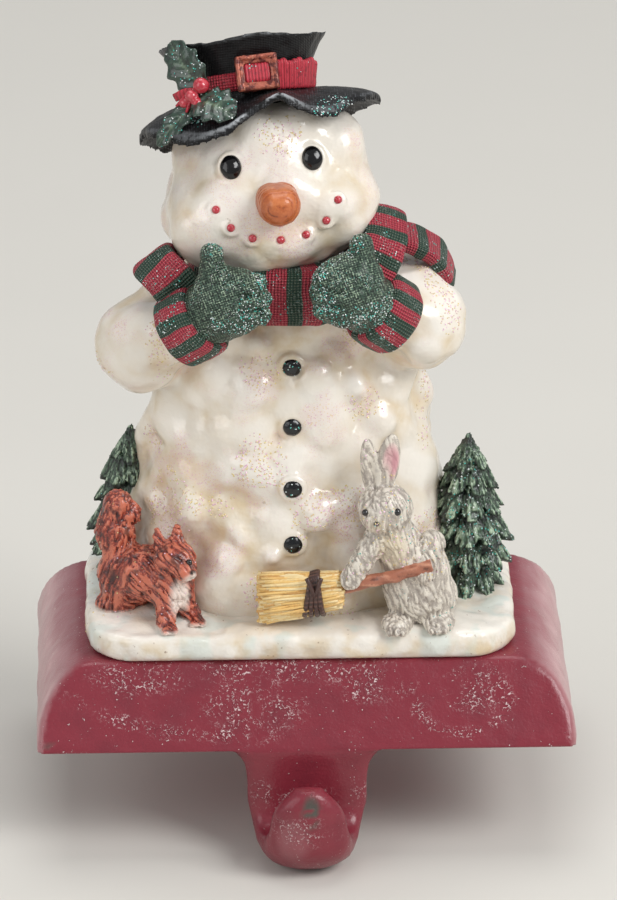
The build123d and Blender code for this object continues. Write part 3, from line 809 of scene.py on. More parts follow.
GROUND_LOW, GROUND_HIGH = (-52, -40, -8), (58, 32, 8)
GROUND_MIDDLE = (2.4, -4.8, -3.3)
GROUND_HALVES = (52.2, 30.7, 3.2)
GROUND_CORNER = 15.0
GROUND_HEM = -5.6  # the slab is smooth below this height
DRIFTS = (
    # middle and radii of each low mound
    ((-34.0, -18.0, -1.0), (14.0, 10.0, 2.4)),
    ((31.0, -26.0, -1.4), (12.0, 8.0, 2.6)),
    ((43.0, -8.0, -1.0), (10.0, 10.0, 2.2)),
    ((-38.0, 3.0, -1.0), (10.0, 11.0, 2.2)),
    ((4.0, -28.0, -1.6), (18.0, 6.0, 2.2)),
    ((0.0, 2.0, -1.0), (43.0, 29.0, 3.0)),
)


def snow_ground(colours):
    """Slab of snow with round corners and low mounds."""
    clay = Clay(GROUND_LOW, GROUND_HIGH, cell=0.9)
    clay.block(GROUND_MIDDLE, GROUND_HALVES, 2.6)

    def corner(x, y, z):
        over_x = np.maximum(np.abs(x - GROUND_MIDDLE[0]) - GROUND_HALVES[0] + GROUND_CORNER, 0)
        over_y = np.maximum(np.abs(y - GROUND_MIDDLE[1]) - GROUND_HALVES[1] + GROUND_CORNER, 0)
        return GROUND_CORNER - np.sqrt(over_x**2 + over_y**2) + 0 * z

    clay.press(GROUND_LOW, GROUND_HIGH, corner, 1.5, cut=True)
    for middle, radii in DRIFTS:
        clay.ball(middle, radii, 2.5)
    clay.rough(lambda p: (p[:, 2] > GROUND_HEM) * (0.5 * grain(p, 5.0, 4) + 0.3 * grain(p, 2.2, 5)))

    def marks(points, normals):
        # yellower where the slab's faces don't point up
        edge = 1 - np.clip(normals[:, 2], 0, 1)
        return {"age": np.clip(0.2 + 0.7 * edge + 0.4 * grain(points, 6.0, 8), 0, 1)}

    add_clay("snow_ground", clay, slab_paint(colours), marks=marks)


SWELL_COUNTS = (9, 6)  # lumps around the snowman
SWELL_PITCHES = (22.0, 31.0)  # heights of one lump and one dent
BODY_LEVELS = (-3.0, 24.0, 43.0, 63.0, 86.0)
BODY_RADII = (36.0, 38.8, 34.6, 30.5, 17.0)
BODY_DEPTH = 0.66  # depth of the body as a share of its width
BODY_SWELL = 1.7  # depth of the main relief
BODY_FOOT, BODY_TOP = -4.0, 90.0
BUTTON_HEIGHTS = (20.3, 34.9, 49.2, 63.4)
BUTTON_RIM, BUTTON_DISH, BUTTON_BEAD = (3.7, 1.9, 3.7), (2.5, 1.7, 2.5), (2.35, 1.5, 2.35)
ELBOW_RADIUS, WRIST_RADIUS = 10.7, 7.0
ARM_SEAM = 3.0
ARMS = {
    # shoulder and its radius, elbow, wrist
    "left": ((-20.5, 0.0, 76.0), 10.2, (-35.1, -11.0, 67.0), (-24.5, -23.0, 76.4)),
    "right": ((26.5, -4.5, 77.0), 12.4, (31.3, -10.8, 71.6), (23.2, -20.6, 78.0)),
}


def swell(x, y, z):
    """Main relief of the packed snow, from -1 to 1; it dies out on the middle of the front."""
    turn = np.arctan2(y, x) + math.pi / 2
    small = np.sin(SWELL_COUNTS[0] * turn) * np.sin(FULL_TURN * z / SWELL_PITCHES[0])
    large = np.sin(SWELL_COUNTS[1] * turn) * np.cos(FULL_TURN * z / SWELL_PITCHES[1])
    return (small + large) / 1.5


def swell_fade(height, low, high):
    """1 halfway between two heights, falling to 0 at both."""
    share = np.clip((height - low) / (high - low), 0, 1)
    return np.sqrt(np.clip(np.sin(math.pi * share), 0, 1))


def snow_body(lump_depth, colours):
    """Body and arms of packed snow, with four buttons."""
    clay = Clay((-50, -36, -6), (48, 30, 94), cell=0.75)
    bend = np.polyfit(BODY_LEVELS, BODY_RADII, 4)

    def form(x, y, z):
        reach = np.sqrt(x**2 + (y / BODY_DEPTH) ** 2)
        fade = swell_fade(z, BODY_LEVELS[0], BODY_LEVELS[-1])
        radius = np.polyval(bend, z) + BODY_SWELL * fade * swell(x, y / BODY_DEPTH, z)
        return np.maximum(0.72 * (reach - radius), np.maximum(z - BODY_TOP, BODY_FOOT - z))

    clay.press((-42, -30, -5), (42, 30, 92), form)
    for shoulder, shoulder_radius, elbow, wrist in ARMS.values():
        clay.rod(shoulder, elbow, shoulder_radius, ELBOW_RADIUS, ARM_SEAM)
        clay.rod(elbow, wrist, ELBOW_RADIUS, WRIST_RADIUS, ARM_SEAM)
    clay.level(BODY_LEVELS[-1])

    def packing(points):
        return lumps(points, 9.4, 21) + 0.2 * (lumps(points, 6.5, 35) - 0.72)

    def packed(points):
        side = np.abs(points[:, 0]) / np.hypot(points[:, 0], points[:, 1] / BODY_DEPTH)
        calm = np.clip((points[:, 2] - 2) / 10, 0.25, 1) * np.clip(1.7 - 1.4 * side, 0.4, 1)
        calm *= 1 - 0.45 * np.clip((np.abs(points[:, 0]) - 26) / 4, 0, 1) * (points[:, 2] > 58)
        return calm * lump_depth * (packing(points) - 0.62) + 0.12 * grain(points, 3.0, 3)

    clay.rough(packed)
    domes = []
    for height in BUTTON_HEIGHTS:
        seat = clay.front(0.4, height)
        seat[1] -= 0.1
        clay.ball(seat, BUTTON_RIM, 0.5)
        clay.ball(seat + (0, -2.0, 0), BUTTON_DISH, 0.3, cut=True)
        domes.append(seat + (0, -0.7, 0))

    def marks(points, normals):
        found = snow_marks(points, normals, packing(points), 1.0, 2)
        # painted shadow below the scarf
        chest = 0.5 * near(points, (0.0, -18.0, 70.0), (22.0, 14.0, 13.0))
        # yellower towards the foot
        foot = 0.35 * np.clip((14 - points[:, 2]) / 14, 0, 1)
        found["age"] = np.clip(found["age"] + chest + foot, 0, 1)
        return found

    add_clay("snow_body", clay, snow_paint(colours), marks=marks)
    beads = Clay((-5, -34, 12), (6, -6, 72), cell=0.3)
    for dome in domes:
        beads.ball(dome, BUTTON_BEAD)
    beads.rough(lambda p: 0.1 * grain(p, 1.0, 9))
    button_paint = gloss_paint("button_paint", BUTTON_BLACK, BUTTON_STREAK, coat=0.2)
    add_clay("buttons", beads, button_paint)


EYES = ((-8.5, 6.4), (10.9, 6.4))  # places across and heights on the face
MOUTH = (
    (-13.2, -3.2),
    (-10.2, -7.9),
    (-5.4, -10.9),
    (1.2, -12.0),
    (7.3, -11.4),
    (12.4, -8.7),
    (15.7, -4.2),
)
EYE_RIM, EYE_SOCKET, EYE_BEAD = (3.5, 1.6, 4.0), (2.6, 1.5, 3.1), (2.5, 1.6, 3.0)
BERRY_RIM, BERRY_SOCKET, BERRY_BEAD = (2.1, 1.0, 2.1), (1.15, 0.6, 1.15), (1.0, 0.9, 1.0)
EYE_CALM = 6.0  # distance from an eye within which the snow is smoother
HEAD_LEVELS = (-18.0, 27.0)
HEAD_DEPTH = 0.8  # depth of the head as a share of its width
HEAD_SWELL = 0.8
HEAD_BALLS = {
    # middle, radii and softness of the seam
    "skull": ((0.0, 0.0, -1.8), (25.2, 20.6, 17.0), 0.0),
    "top": ((0.0, 0.8, 9.5), (21.2, 18.2, 17.5), 5.0),
    "left_cheek": ((-13.0, -7.0, -6.0), (11.5, 11.5, 9.5), 4.0),
    "right_cheek": ((14.0, -7.0, -5.0), (11.0, 11.0, 9.0), 4.0),
    "chin": ((0.5, -9.0, -11.5), (12.0, 9.5, 7.0), 4.0),
    "brow": ((3.5, -11.0, 15.5), (8.0, 7.5, 6.0), 4.0),
    "right_temple": ((19.5, -5.0, 9.5), (4.6, 8.0, 6.5), 6.0),
}


def snow_head(colours):
    """Head of packed snow with its eyes, mouth and nose."""
    clay = Clay((-31, -30, -23), (31, 26, 31), cell=0.55)
    for middle, radii, seam in HEAD_BALLS.values():
        clay.ball(middle, radii, seam)

    def packing(points):
        return lumps(points, 11.0, 51)

    def packed(points):
        away = np.ones(len(points))
        for across, height in EYES:
            gap_squared = (points[:, 0] - across) ** 2 + (points[:, 2] - height) ** 2
            away *= np.clip(gap_squared / EYE_CALM**2, 0.1, 1)
        fade = swell_fade(points[:, 2], *HEAD_LEVELS)
        main = HEAD_SWELL * fade * swell(points[:, 0], points[:, 1] / HEAD_DEPTH, points[:, 2])
        return away * (main + 1.3 * (packing(points) - 0.65)) + 0.15 * grain(points, 3.5, 13)

    clay.rough(packed)
    eyes = Clay((-14, -30, 0), (17, -8, 13), cell=0.28)
    for across, height in EYES:
        seat = clay.front(across, height)
        clay.ball(seat + (0, 0.3, 0), EYE_RIM, 0.6)
        clay.ball(seat + (0, -1.3, 0), EYE_SOCKET, 0.2, cut=True)
        eyes.ball(seat + (0, -0.4, 0), EYE_BEAD)
    berries = Clay((-18, -30, -17), (20, -4, 2), cell=0.25)
    for across, height in MOUTH:
        seat = clay.front(across, height)
        clay.ball(seat + (0, 0.3, 0), BERRY_RIM, 0.8)
        clay.ball(seat + (0, -0.8, 0), BERRY_SOCKET, 0.2, cut=True)
        berries.ball(seat + (0, -0.5, 0), BERRY_BEAD)

    def marks(points, normals):
        return snow_marks(points, normals, packing(points), 0.6, 5)

    add_clay("snow_head", clay, snow_paint(colours), HEAD_FRAME, marks)
    eyes.rough(lambda p: 0.08 * grain(p, 1.2, 3))
    eye_paint = gloss_paint("eye_paint", EYE_BLACK, EYE_STREAK, 0.1, 0.15)
    add_clay("eyes", eyes, eye_paint, HEAD_FRAME)
    add_clay("mouth_berries", berries, berry_paint("berry_paint", colours), HEAD_FRAME)
    carrot_nose(clay, colours)


NOSE_PLACE = (1.4, -2.9)  # place across and height on the face
NOSE_DROOP = math.radians(18)
NOSE_LENGTH = 11.0
NOSE_SUNK = 2.0  # length that is sunk in the face
NOSE_RADIUS = 5.2
NOSE_GROOVES = 5.5


def carrot_nose(head, colours):
    """Blunt carrot with a flattened top and broken grooves across it."""
    around = 48
    stations = np.linspace(0, 1, 60)
    turn = np.linspace(0, FULL_TURN, around, endpoint=False)
    ahead = np.array((0.05, -math.cos(NOSE_DROOP), -math.sin(NOSE_DROOP)))
    route = head.front(*NOSE_PLACE) - NOSE_SUNK * ahead + stations[:, None] * NOSE_LENGTH * ahead
    square = (np.abs(np.cos(turn)) ** 3 + np.abs(np.sin(turn)) ** 3) ** (-1 / 3)
    girth = np.where(np.sin(turn) > 0, square * (1 - 0.2 * np.sin(turn)), 1.0)
    blunt = np.clip((stations - 0.3) / 0.705, 0, 1) ** 3.2
    shape = NOSE_RADIUS * np.sqrt(np.clip(1 - blunt, 0.0004, 1))
    rings = strap_rings(route, (1, 0, 0), 2.0, 2.0, around, 2.0)
    rings = route[:, None, :] + (rings - route[:, None, :]) * shape[:, None, None] * girth[None, :, None]
    points, faces = tube(rings)
    tilt = np.tile(np.sin(turn), len(stations))
    bent = np.repeat(stations, around) + 0.05 * tilt + 0.05 * grain(points, 3.0, 6)
    waves = np.cos(FULL_TURN * NOSE_GROOVES * np.clip(bent, 0, None) ** 1.5)
    broken = np.clip(2 * grain(points, 2.4, 5) + 0.6, 0, 1)
    grooves = np.clip(4 * waves - 3, 0, 1) * broken
    points = points - 0.06 * grooves[:, None] * (points - np.repeat(route, around, axis=0))
    points = points + 0.12 * jitter(points, 1.5, 1)
    paint = straw_paint("carrot_paint", colours.carrot, CARROT_GROOVE, CARROT_LIGHT)
    strand = 0.6 - 0.6 * grooves + 0.2 * grain(points, 1.4, 4)
    add_piece("carrot_nose", points, faces, paint, HEAD_FRAME, strand=strand)


# Hat

HAT_SHIFT = -1.6  # place of the crown's middle across the head
HAT_DEPTH = 0.92  # depth of the crown as a share of its width
CROWN_RISE = 13.2
CROWN_FOOT = -4.0
BRIM_RADII = (28.8, 25.2)
BRIM_CREST = 4.6  # place across where the brim is highest
BRIM_FALLS = {"front": 3.0, "left": 13.0, "right": 8.4}
BRIM_HALF = 0.85  # half of the brim's thickness
BAND_RADIUS = 15.5
BAND_WIDTH, BAND_THICKNESS = 4.4, 1.6
PLEAT_COUNT = 9
PLEAT_REACH = 16.2  # distance of the pleats from the crown's middle
BAND_TAIL_START = (-14.4, -16.8, 25.2)
BAND_TAIL_ENDS = ((-19.6, -13.8, 24.6), (-19.0, -15.6, 22.0), (-17.2, -17.0, 20.6))
BUCKLE_HEIGHT = HAT_HEIGHT + 4.3


def brim_fall(across, out):
    """Fall of the brim below the foot of the crown."""
    left = BRIM_FALLS["left"] * np.sin(np.clip((BRIM_CREST - across) / 26.0, 0, 1) * math.pi / 2) ** 1.4
    right = BRIM_FALLS["right"] * np.sin(np.clip((across - BRIM_CREST) / 13.0, 0, 1) * math.pi / 2) ** 1.4
    wave = (BRIM_FALLS["front"] + left + right) * (out / 26.25) ** 2
    return wave + (0.5 * left + 0.4 * right) * (across / 28.6) ** 4


def brim_reach(across, out):
    """0 in the middle of the brim and 1 on its rim."""
    return np.sqrt((across / BRIM_RADII[0]) ** 2 + (out / BRIM_RADII[1]) ** 2)


def crown_radius(height):
    """Radius of the crown, which widens upwards."""
    return 15.3 - 0.12 * height + 0.0355 * height**2


def hat(colours):
    """Felt hat with a dished top and a wavy brim, its band and its holly."""
    clay = Clay((-31, -28, 6), (31, 28, 41), cell=0.58)

    def crown(x, y, z):
        rise = z - HAT_HEIGHT
        reach = np.sqrt((x - HAT_SHIFT + 0.02 * rise) ** 2 + (y / HAT_DEPTH) ** 2)
        top = CROWN_RISE + 0.45 * np.sin(0.3 * x + 1.2)
        return np.maximum(0.9 * (reach - crown_radius(rise)), np.maximum(rise - top, CROWN_FOOT - rise))

    def brim(x, y, z):
        drop = z - HAT_HEIGHT + brim_fall(x, y)
        step = 0.2
        slope_x = (brim_fall(x + step, y) - brim_fall(x - step, y)) / (2 * step)
        slope_y = (brim_fall(x, y + step) - brim_fall(x, y - step)) / (2 * step)
        sheet = np.abs(drop) / np.sqrt(1 + slope_x**2 + slope_y**2) - BRIM_HALF
        turn = np.arctan2(y, x)
        reach = brim_reach(x, y) - 0.025 * np.sin(5 * turn + 0.6) - 0.012 * np.sin(13 * turn)
        return np.maximum(sheet, 24.0 * (reach - 1.0))

    clay.press((-26, -24, 19), (24, 24, 39), crown)
    clay.press((-31, -28, 6), (31, 28, 27), brim, 1.0)
    clay.ball((-1.9, 0, 40.6), (17.5, 16.0, 4.2), 0.6, cut=True)
    clay.rough(lambda p: 0.16 * grain(p, 2.6, 6) + 0.1 * grain(p, 1.2, 7))

    def marks(points, normals):
        rise = points[:, 2] - HAT_HEIGHT
        reach = brim_reach(points[:, 0], points[:, 1])
        arch = np.clip(1.4 - np.abs(points[:, 0] + 2.0) / 11, 0.15, 1) * (points[:, 1] < 0)
        lift = rise + brim_fall(points[:, 0], points[:, 1])
        rim = np.clip((reach - 0.97) / 0.012, 0, 1) * arch * np.clip((lift - 0.4) / 0.25, 0, 1)
        top = np.clip((rise - 12.5) / 0.5, 0, 1) * np.clip(1 - 1.5 * np.abs(normals[:, 2]), 0, 1)
        brim_share = np.clip(1.2 - rise / 3, 0.12, 1)
        return {"edge": np.clip(rim + 0.5 * top, 0, 1), "brim": brim_share}

    add_clay("hat_felt", clay, hat_paint(colours), HEAD_FRAME, marks)
    hat_band(colours)
    holly(colours)


def hat_band(colours):
    """Ribbon round the crown with a pleated bow, three tails and a buckle on a small pillow."""
    radii = (BAND_RADIUS * HAT_DEPTH, BAND_RADIUS)
    middle = (HAT_SHIFT, 0, HAT_HEIGHT + 2.9)
    rings = ring_rings(middle, (0, 0, 1), (0, 1, 0), radii, BAND_WIDTH, BAND_THICKNESS)
    along, around = ring_lengths(rings)
    points, faces = tube(rings, closed=True)
    folds = Clay((-24, -22, 16), (20, -2, 36), cell=0.3)
    for step in range(PLEAT_COUNT):
        turn = math.radians(-66 + 5.4 * step)
        out = np.array((math.cos(turn), HAT_DEPTH * math.sin(turn), 0))
        foot = PLEAT_REACH * out + (HAT_SHIFT, 0, HAT_HEIGHT + 0.7)
        rise = 5.4 + 0.4 * math.sin(2.1 * step)
        folds.rod(foot, foot + 1.1 * out + (0, 0, rise), 0.85, 0.9, 0.6)
    pillow = Clay((-6, -22, 22), (7, -12, 34), cell=0.3)
    pillow.block((0.4, -15.6, BUCKLE_HEIGHT), (3.4, 1.5, 2.6), 1.2)
    parts = [(points, faces)]
    for clay in (folds, pillow):
        skin, quads = clay.skin()
        parts.append((skin, quads.tolist()))
    start = np.array(BAND_TAIL_START)
    for end in BAND_TAIL_ENDS:
        route = smooth_route((start, 0.5 * (start + end) + (0, -0.6, 0.5), end), 12)
        parts.append(tube(strap_rings(route, (0.3, -0.5, 0.8), 2.0, 0.7, 12)))
    total, total_faces = merged(parts)
    extra = total[len(points):]
    along = np.concatenate([along, BAND_RADIUS * np.arctan2(extra[:, 0], -extra[:, 1])])
    around = np.concatenate([around, np.zeros(len(extra))])
    add_piece("hat_band", total, total_faces, ribbon_paint(colours), HEAD_FRAME, along=along, around=around)
    buckle = Clay((-8, -22, 20), (9, -11, 36), cell=0.26)
    buckle.block((0.4, -16.3, BUCKLE_HEIGHT), (5.0, 1.5, 4.3), 0.6)
    buckle.block((0.4, -17.4, BUCKLE_HEIGHT), (3.0, 3.4, 2.2), 0.4, 0.5, cut=True)
    buckle.block((0.4, -19.0, BUCKLE_HEIGHT), (3.9, 1.7, 3.1), 0.3, 0.4, cut=True)
    buckle.rough(lambda p: 0.15 * grain(p, 1.1, 12))
    add_clay("hat_buckle", buckle, copper_paint(colours), HEAD_FRAME)


def ribbon_paint(colours):
    """Red ribbon with a fine woven grid, with painted shade between the threads and painted highlights on
    them.
    """
    paint = Paint("hat_band_paint")
    rows = (paint.mark("along") * RIBBON_RATE).sine() + (paint.mark("around") * RIBBON_RATE).sine()
    # painted shade between the threads
    colour = paint.mix(RIBBON_SHADOW, colours.band, rows.ramp(-1.6, 0.2))
    # painted highlights on the threads
    colour = paint.mix(colour, RIBBON_HIGHLIGHT, rows.ramp(1.2, 2.0) * 0.5)
    colour = paint.mix(colour, RIBBON_STAIN, paint.noise(1.2, 3.0).ramp(0.5, 0.7) * 0.6)
    return paint.finish(colour, 0.48, rows + paint.noise(0.8, 3.0), 0.12, coat=0.1)


LEAVES = (
    # stalk, tip, direction that the leaf faces and its width
    ((-12.6, -15.6, 25.0), (-19.4, -11.6, 38.0), (-0.65, -1.0, -0.1), 11.0),
    ((-14.9, -17.6, 22.4), (-25.2, -15.0, 13.8), (-0.35, -1.0, 0.45), 6.6),
    ((-15.0, -18.2, 23.4), (-6.4, -24.4, 18.2), (-0.17, -0.79, 0.6), 11.4),
)
HOLLY_BERRIES = (
    # place and radius
    ((-13.2, -17.6, 26.4), 1.95),
    ((-15.7, -17.2, 24.2), 1.6),
    ((-17.4, -15.6, 22.9), 1.5),
    ((-14.6, -17.6, 22.4), 1.4),
)


def holly(colours):
    """Three folded holly leaves with veins, and their berries."""
    parts, ribs = [], []
    for base, tip, facing, width in LEAVES:
        stations = np.linspace(0, 1, 40)
        sides = np.linspace(-1, 1, 15)
        base, tip = Vector(base), Vector(tip)
        along = (tip - base).normalized()
        across = along.cross(Vector(facing)).normalized()
        normal = across.cross(along)
        length = (tip - base).length
        half = width / 2 * np.sin(math.pi * np.clip(stations * 0.94 + 0.04, 0, 1)) ** 0.6
        half = half * (1 - 0.24 * np.abs(np.sin(3.5 * math.pi * stations)) ** 1.6)
        half = np.maximum(half, 0.25)
        curl = 1.1 * np.sin(math.pi * stations) - 0.4
        fold = 0.9 * np.abs(sides) - 0.5 * sides**4
        veins = 0.22 * np.sin(26 * stations[:, None] - 7 * np.abs(sides)[None, :]) * (1 - sides**2)[None, :]
        top = curl[:, None] + fold[None, :] * (half / half.max())[:, None] + veins
        bottom = top - 0.25 - 0.75 * (1 - sides**2)[None, :]
        flat = stations[:, None] * length * np.ones_like(sides)[None, :]
        wide = half[:, None] * sides[None, :]
        upper = np.stack([flat, wide, top], axis=2)
        lower = np.stack([flat, wide, bottom], axis=2)[:, ::-1, :]
        rings = np.concatenate([upper, lower], axis=1)
        frame_rows = np.array([along, across, normal])
        parts.append(tube(rings @ frame_rows + np.array(base)))
        rib = np.clip(1 - np.abs(sides) / 0.16, 0, 1)[None, :] + np.clip(4 * veins - 0.3, 0, 0.6)
        ribs.append(np.concatenate([rib, 0 * rib], axis=1).reshape(-1))
    points, faces = merged(parts)
    add_piece("holly_leaves", points, faces, leaf_paint(colours), HEAD_FRAME, rib=np.concatenate(ribs))
    clay = Clay((-22, -22, 18), (-9, -11, 31), cell=0.28)
    for (x, y, z), radius in HOLLY_BERRIES:
        clay.ball((x, y - 0.6, z), radius)
    clay.rough(lambda p: 0.08 * grain(p, 0.9, 2))
    add_clay("holly_berries", clay, berry_paint("holly_berry_paint", colours), HEAD_FRAME)


# Mittens and scarf

MITTENS = {
    "left": {
        "palm": ((-15.6, -28.5, 85.0), (8.6, 6.6, 9.0)),
        "fingers": ((-10.8, -29.4, 85.6), (5.2, 5.4, 7.4)),
        "thumb": ((-18.8, -29.5, 88.0), (-18.6, -29.5, 97.4)),
        "wrist": ((-16.0, -27.6, 83.6), (-22.6, -24.4, 78.2)),
        "knuckles": ((-8.2, -30.6, 90.6), (-7.2, -31.0, 86.6), (-7.6, -30.8, 82.4)),
    },
    "right": {
        "palm": ((13.6, -29.0, 88.2), (8.6, 6.8, 8.8)),
        "fingers": ((10.4, -30.4, 87.4), (5.2, 5.2, 7.2)),
        "thumb": ((16.6, -28.0, 91.0), (16.6, -28.0, 98.6)),
        "wrist": ((14.6, -27.6, 86.4), (20.6, -22.2, 80.2)),
        "knuckles": ((7.4, -31.6, 92.0), (6.8, -32.0, 88.0), (7.6, -31.6, 83.8)),
    },
}
CUFFS = {
    # middle and axis
    "left": ((-23.5, -24.0, 77.3), (0.75, -0.28, 0.6)),
    "right": ((22.1, -21.3, 79.0), (-0.72, -0.35, 0.6)),
}
CUFF_RADIUS = 7.5
CUFF_LENGTH = 9.6
CUFF_THICKNESS = 3.8
CUFF_STRIPES = 9


def mittens(colours):
    """Two mittens with thumbs, knuckles and the creases between them."""
    clay = Clay((-27, -38, 70), (26, -18, 104), cell=0.42)
    for hand in MITTENS.values():
        clay.ball(*hand["palm"], 1.5)
        clay.ball(*hand["fingers"], 2.5)
        clay.rod(*hand["thumb"], 3.7, 2.9, 1.6)
        clay.rod(*hand["wrist"], 7.8, 7.4, 1.5)
        for knuckle in hand["knuckles"]:
            clay.ball(knuckle, (2.6, 3.0, 2.3), 0.6)
        for upper, lower in itertools.pairwise(hand["knuckles"]):
            middle = 0.5 * (np.array(upper) + lower)
            inward = math.copysign(5.0, middle[0])
            crease = [clay.front(middle[0] + shift, middle[2]) for shift in (0.0, inward)]
            clay.rod(*crease, 0.8, 0.3, 0.8, cut=True)
    clay.rough(lambda p: 0.25 * grain(p, 1.5, 17) + 0.3 * grain(p, 4.0, 18))

    def marks(points, normals):
        # more sage on faces that point up: painted highlight from above
        return {"edge": np.clip(0.6 + 0.5 * normals[:, 2] + 0.5 * grain(points, 6.0, 9), 0, 1)}

    add_clay("mittens", clay, mitten_paint(colours), marks=marks)


def add_knit(name, straps, paint):
    """Makes one piece from straps: their rings, whether they close, lengths along and around, stripes."""
    points, faces = merged([tube(rings, closed) for rings, closed, *_ in straps])
    along, around, stripe = (np.concatenate([strap[place] for strap in straps]) for place in (2, 3, 4))
    add_piece(name, points, faces, paint, along=along, around=around, stripe=stripe)


def cuffs(colours):
    """Thick striped cuffs of the mittens."""
    straps = []
    steps, section = 160, 32
    turn = np.repeat(np.linspace(0, FULL_TURN, steps, endpoint=False), section)
    radii = (CUFF_RADIUS, CUFF_RADIUS)
    for middle, axis in CUFFS.values():
        rings = ring_rings(middle, axis, (0, 0, 1), radii, CUFF_LENGTH, CUFF_THICKNESS, steps, section)
        along, around = ring_lengths(rings)
        stripes = turn * CUFF_STRIPES + 0.06 * around
        straps.append((uneven(rings, 0.25, 3.0, 41), True, along, around, stripes))
    add_knit("mitten_cuffs", straps, knit_paint("cuff_knit", colours, 0.05))


SCARF_MIDDLE = (0.0, -3.5, 82.4)
SCARF_RADII = (15.6, 20.0)
SCARF_WIDTH = 14.5
SCARF_THICKNESS = 8.6
SCARF_STRIPE = 7.2  # one red and one green stripe
FRINGE_COUNT = 7
FRINGE_SPACING = 1.5
STRAPS = (
    # places along the strap, direction of its width, width, thickness and length of its stripes
    (
        (
            (-28.6, -9.0, 86.5),
            (-32.2, -14.0, 89.8),
            (-31.4, -18.4, 89.8),
            (-28.4, -21.4, 87.4),
            (-25.0, -22.0, 83.0),
        ),
        (0.77, 0, 0.64),
        11.2,
        4.2,
        7.4,
    ),
    (
        (
            (21.0, 2.0, 90.0),
            (22.6, -4.5, 97.0),
            (23.0, -10.5, 98.4),
            (22.4, -17.0, 95.2),
            (20.0, -22.0, 90.4),
            (16.5, -23.5, 85.0),
        ),
        (0.95, 0.1, -0.3),
        10.6,
        4.0,
        6.4,
    ),
    (
        (
            (22.0, -6.5, 91.2),
            (27.8, -6.3, 91.8),
            (33.6, -5.5, 88.8),
            (36.9, -4.9, 84.6),
            (38.4, -4.6, 80.0),
        ),
        (0.1, 1, 0.15),
        11.0,
        3.6,
        6.4,
    ),
)


def scarf(colours):
    """Striped scarf: a loop round the neck, three straps and a fringe on the last of them."""
    loop = ring_rings(
        SCARF_MIDDLE, (0, 0, 1), (0, 1, 0), SCARF_RADII, SCARF_WIDTH, SCARF_THICKNESS, 200, 40
    )
    bands = [(loop, True, SCARF_STRIPE)]
    for route, side, width, thickness, stripe in STRAPS:
        bands.append((strap_rings(smooth_route(route, 80), side, width, thickness), False, stripe))
    straps = []
    for rings, closed, stripe in bands:
        along, around = ring_lengths(rings)
        start = along.max() / 2 - 2.3 if closed else 0.0
        stripes = (along - start) * FULL_TURN / stripe + math.pi / 2
        straps.append((uneven(rings, 0.3, 3.4, 61), closed, along, around, stripes))
    last_route, last_side = np.array(STRAPS[-1][0]), np.array(STRAPS[-1][1])
    for step in range(FRINGE_COUNT):
        start = last_route[-1] + last_side * (step - FRINGE_COUNT // 2) * FRINGE_SPACING + (0, 0, 0.6)
        bend = (0.4 * math.sin(2.3 * step), 0.2 * math.cos(1.7 * step), -3.4)
        route = smooth_route((start, start + (0.4, 0.1, -1.6), start + bend), 8)
        rings = strap_rings(route, (0, 1, 0), 1.2, 1.2, 8, 2.0)
        along, around = ring_lengths(rings)
        stripes = np.full(len(along), 2.0 if step % 2 else 5.0)
        straps.append((rings, False, along, around, stripes))
    add_knit("scarf", straps, knit_paint("scarf_knit", colours, -0.25))


# Animals

SQUIRREL_BALLS = {
    # middle and radii
    "haunch": ((-39.4, -16.0, 8.0), (7.2, 6.5, 8.4)),
    "back": ((-34.4, -19.4, 10.4), (8.2, 6.4, 6.8)),
    "chest": ((-29.0, -23.8, 8.8), (5.6, 5.0, 6.6)),
    "head": ((-28.0, -24.6, 16.2), (5.0, 4.7, 4.5)),
    "muzzle": ((-25.6, -28.0, 14.8), (2.8, 2.6, 2.4)),
    "hind_foot": ((-42.0, -17.4, 1.6), (5.2, 4.2, 2.8)),
}
SQUIRREL_RODS = {
    # both ends and the radius at each
    "left_ear": ((-31.4, -22.4, 19.4), (-32.4, -21.6, 22.6), 1.9, 0.6),
    "right_ear": ((-27.6, -23.2, 20.2), (-27.4, -22.8, 24.0), 1.9, 0.6),
    "near_foreleg": ((-29.8, -26.0, 7.0), (-30.4, -29.0, 1.2), 2.7, 2.1),
    "far_foreleg": ((-26.2, -24.4, 6.0), (-24.0, -24.4, 1.4), 2.5, 2.0),
    "near_paw": ((-30.4, -29.0, 1.2), (-29.4, -31.6, 0.8), 2.0, 1.7),
    "far_paw": ((-24.0, -24.4, 1.4), (-22.6, -27.2, 0.9), 1.9, 1.6),
    "tail_root": ((-40.4, -15.0, 11.0), (-42.4, -13.8, 19.0), 3.8, 4.6),
    "tail_middle": ((-42.4, -13.8, 19.0), (-41.6, -13.2, 26.0), 4.6, 3.2),
    "tail_curl": ((-41.6, -13.2, 26.0), (-38.4, -13.4, 23.4), 3.2, 2.6),
}
SQUIRREL_TOES = ((-29.4, -32.4, 0.8), (-22.6, -28.0, 0.9))
RABBIT_BALLS = {
    # middle and radii
    "body": ((30.0, -27.5, 11.6), (8.2, 6.8, 11.6)),
    "hip": ((34.4, -26.4, 6.6), (5.6, 6.0, 6.2)),
    "head": ((22.4, -30.0, 31.4), (6.5, 6.0, 6.2)),
    "muzzle": ((20.6, -34.0, 29.8), (3.0, 2.6, 2.6)),
    "left_foot": ((25.4, -31.4, 1.6), (3.8, 4.2, 2.6)),
    "right_foot": ((35.4, -30.4, 1.6), (4.0, 4.4, 2.6)),
}
RABBIT_RODS = {
    # both ends and the radius at each
    "neck": ((23.4, -29.4, 26.0), (27.4, -28.2, 18.0), 5.0, 6.4),
    "left_arm": ((20.4, -31.4, 24.4), (14.0, -33.6, 14.6), 3.1, 2.5),
    "right_arm": ((33.4, -29.6, 21.8), (31.6, -33.6, 16.0), 3.4, 2.6),
}
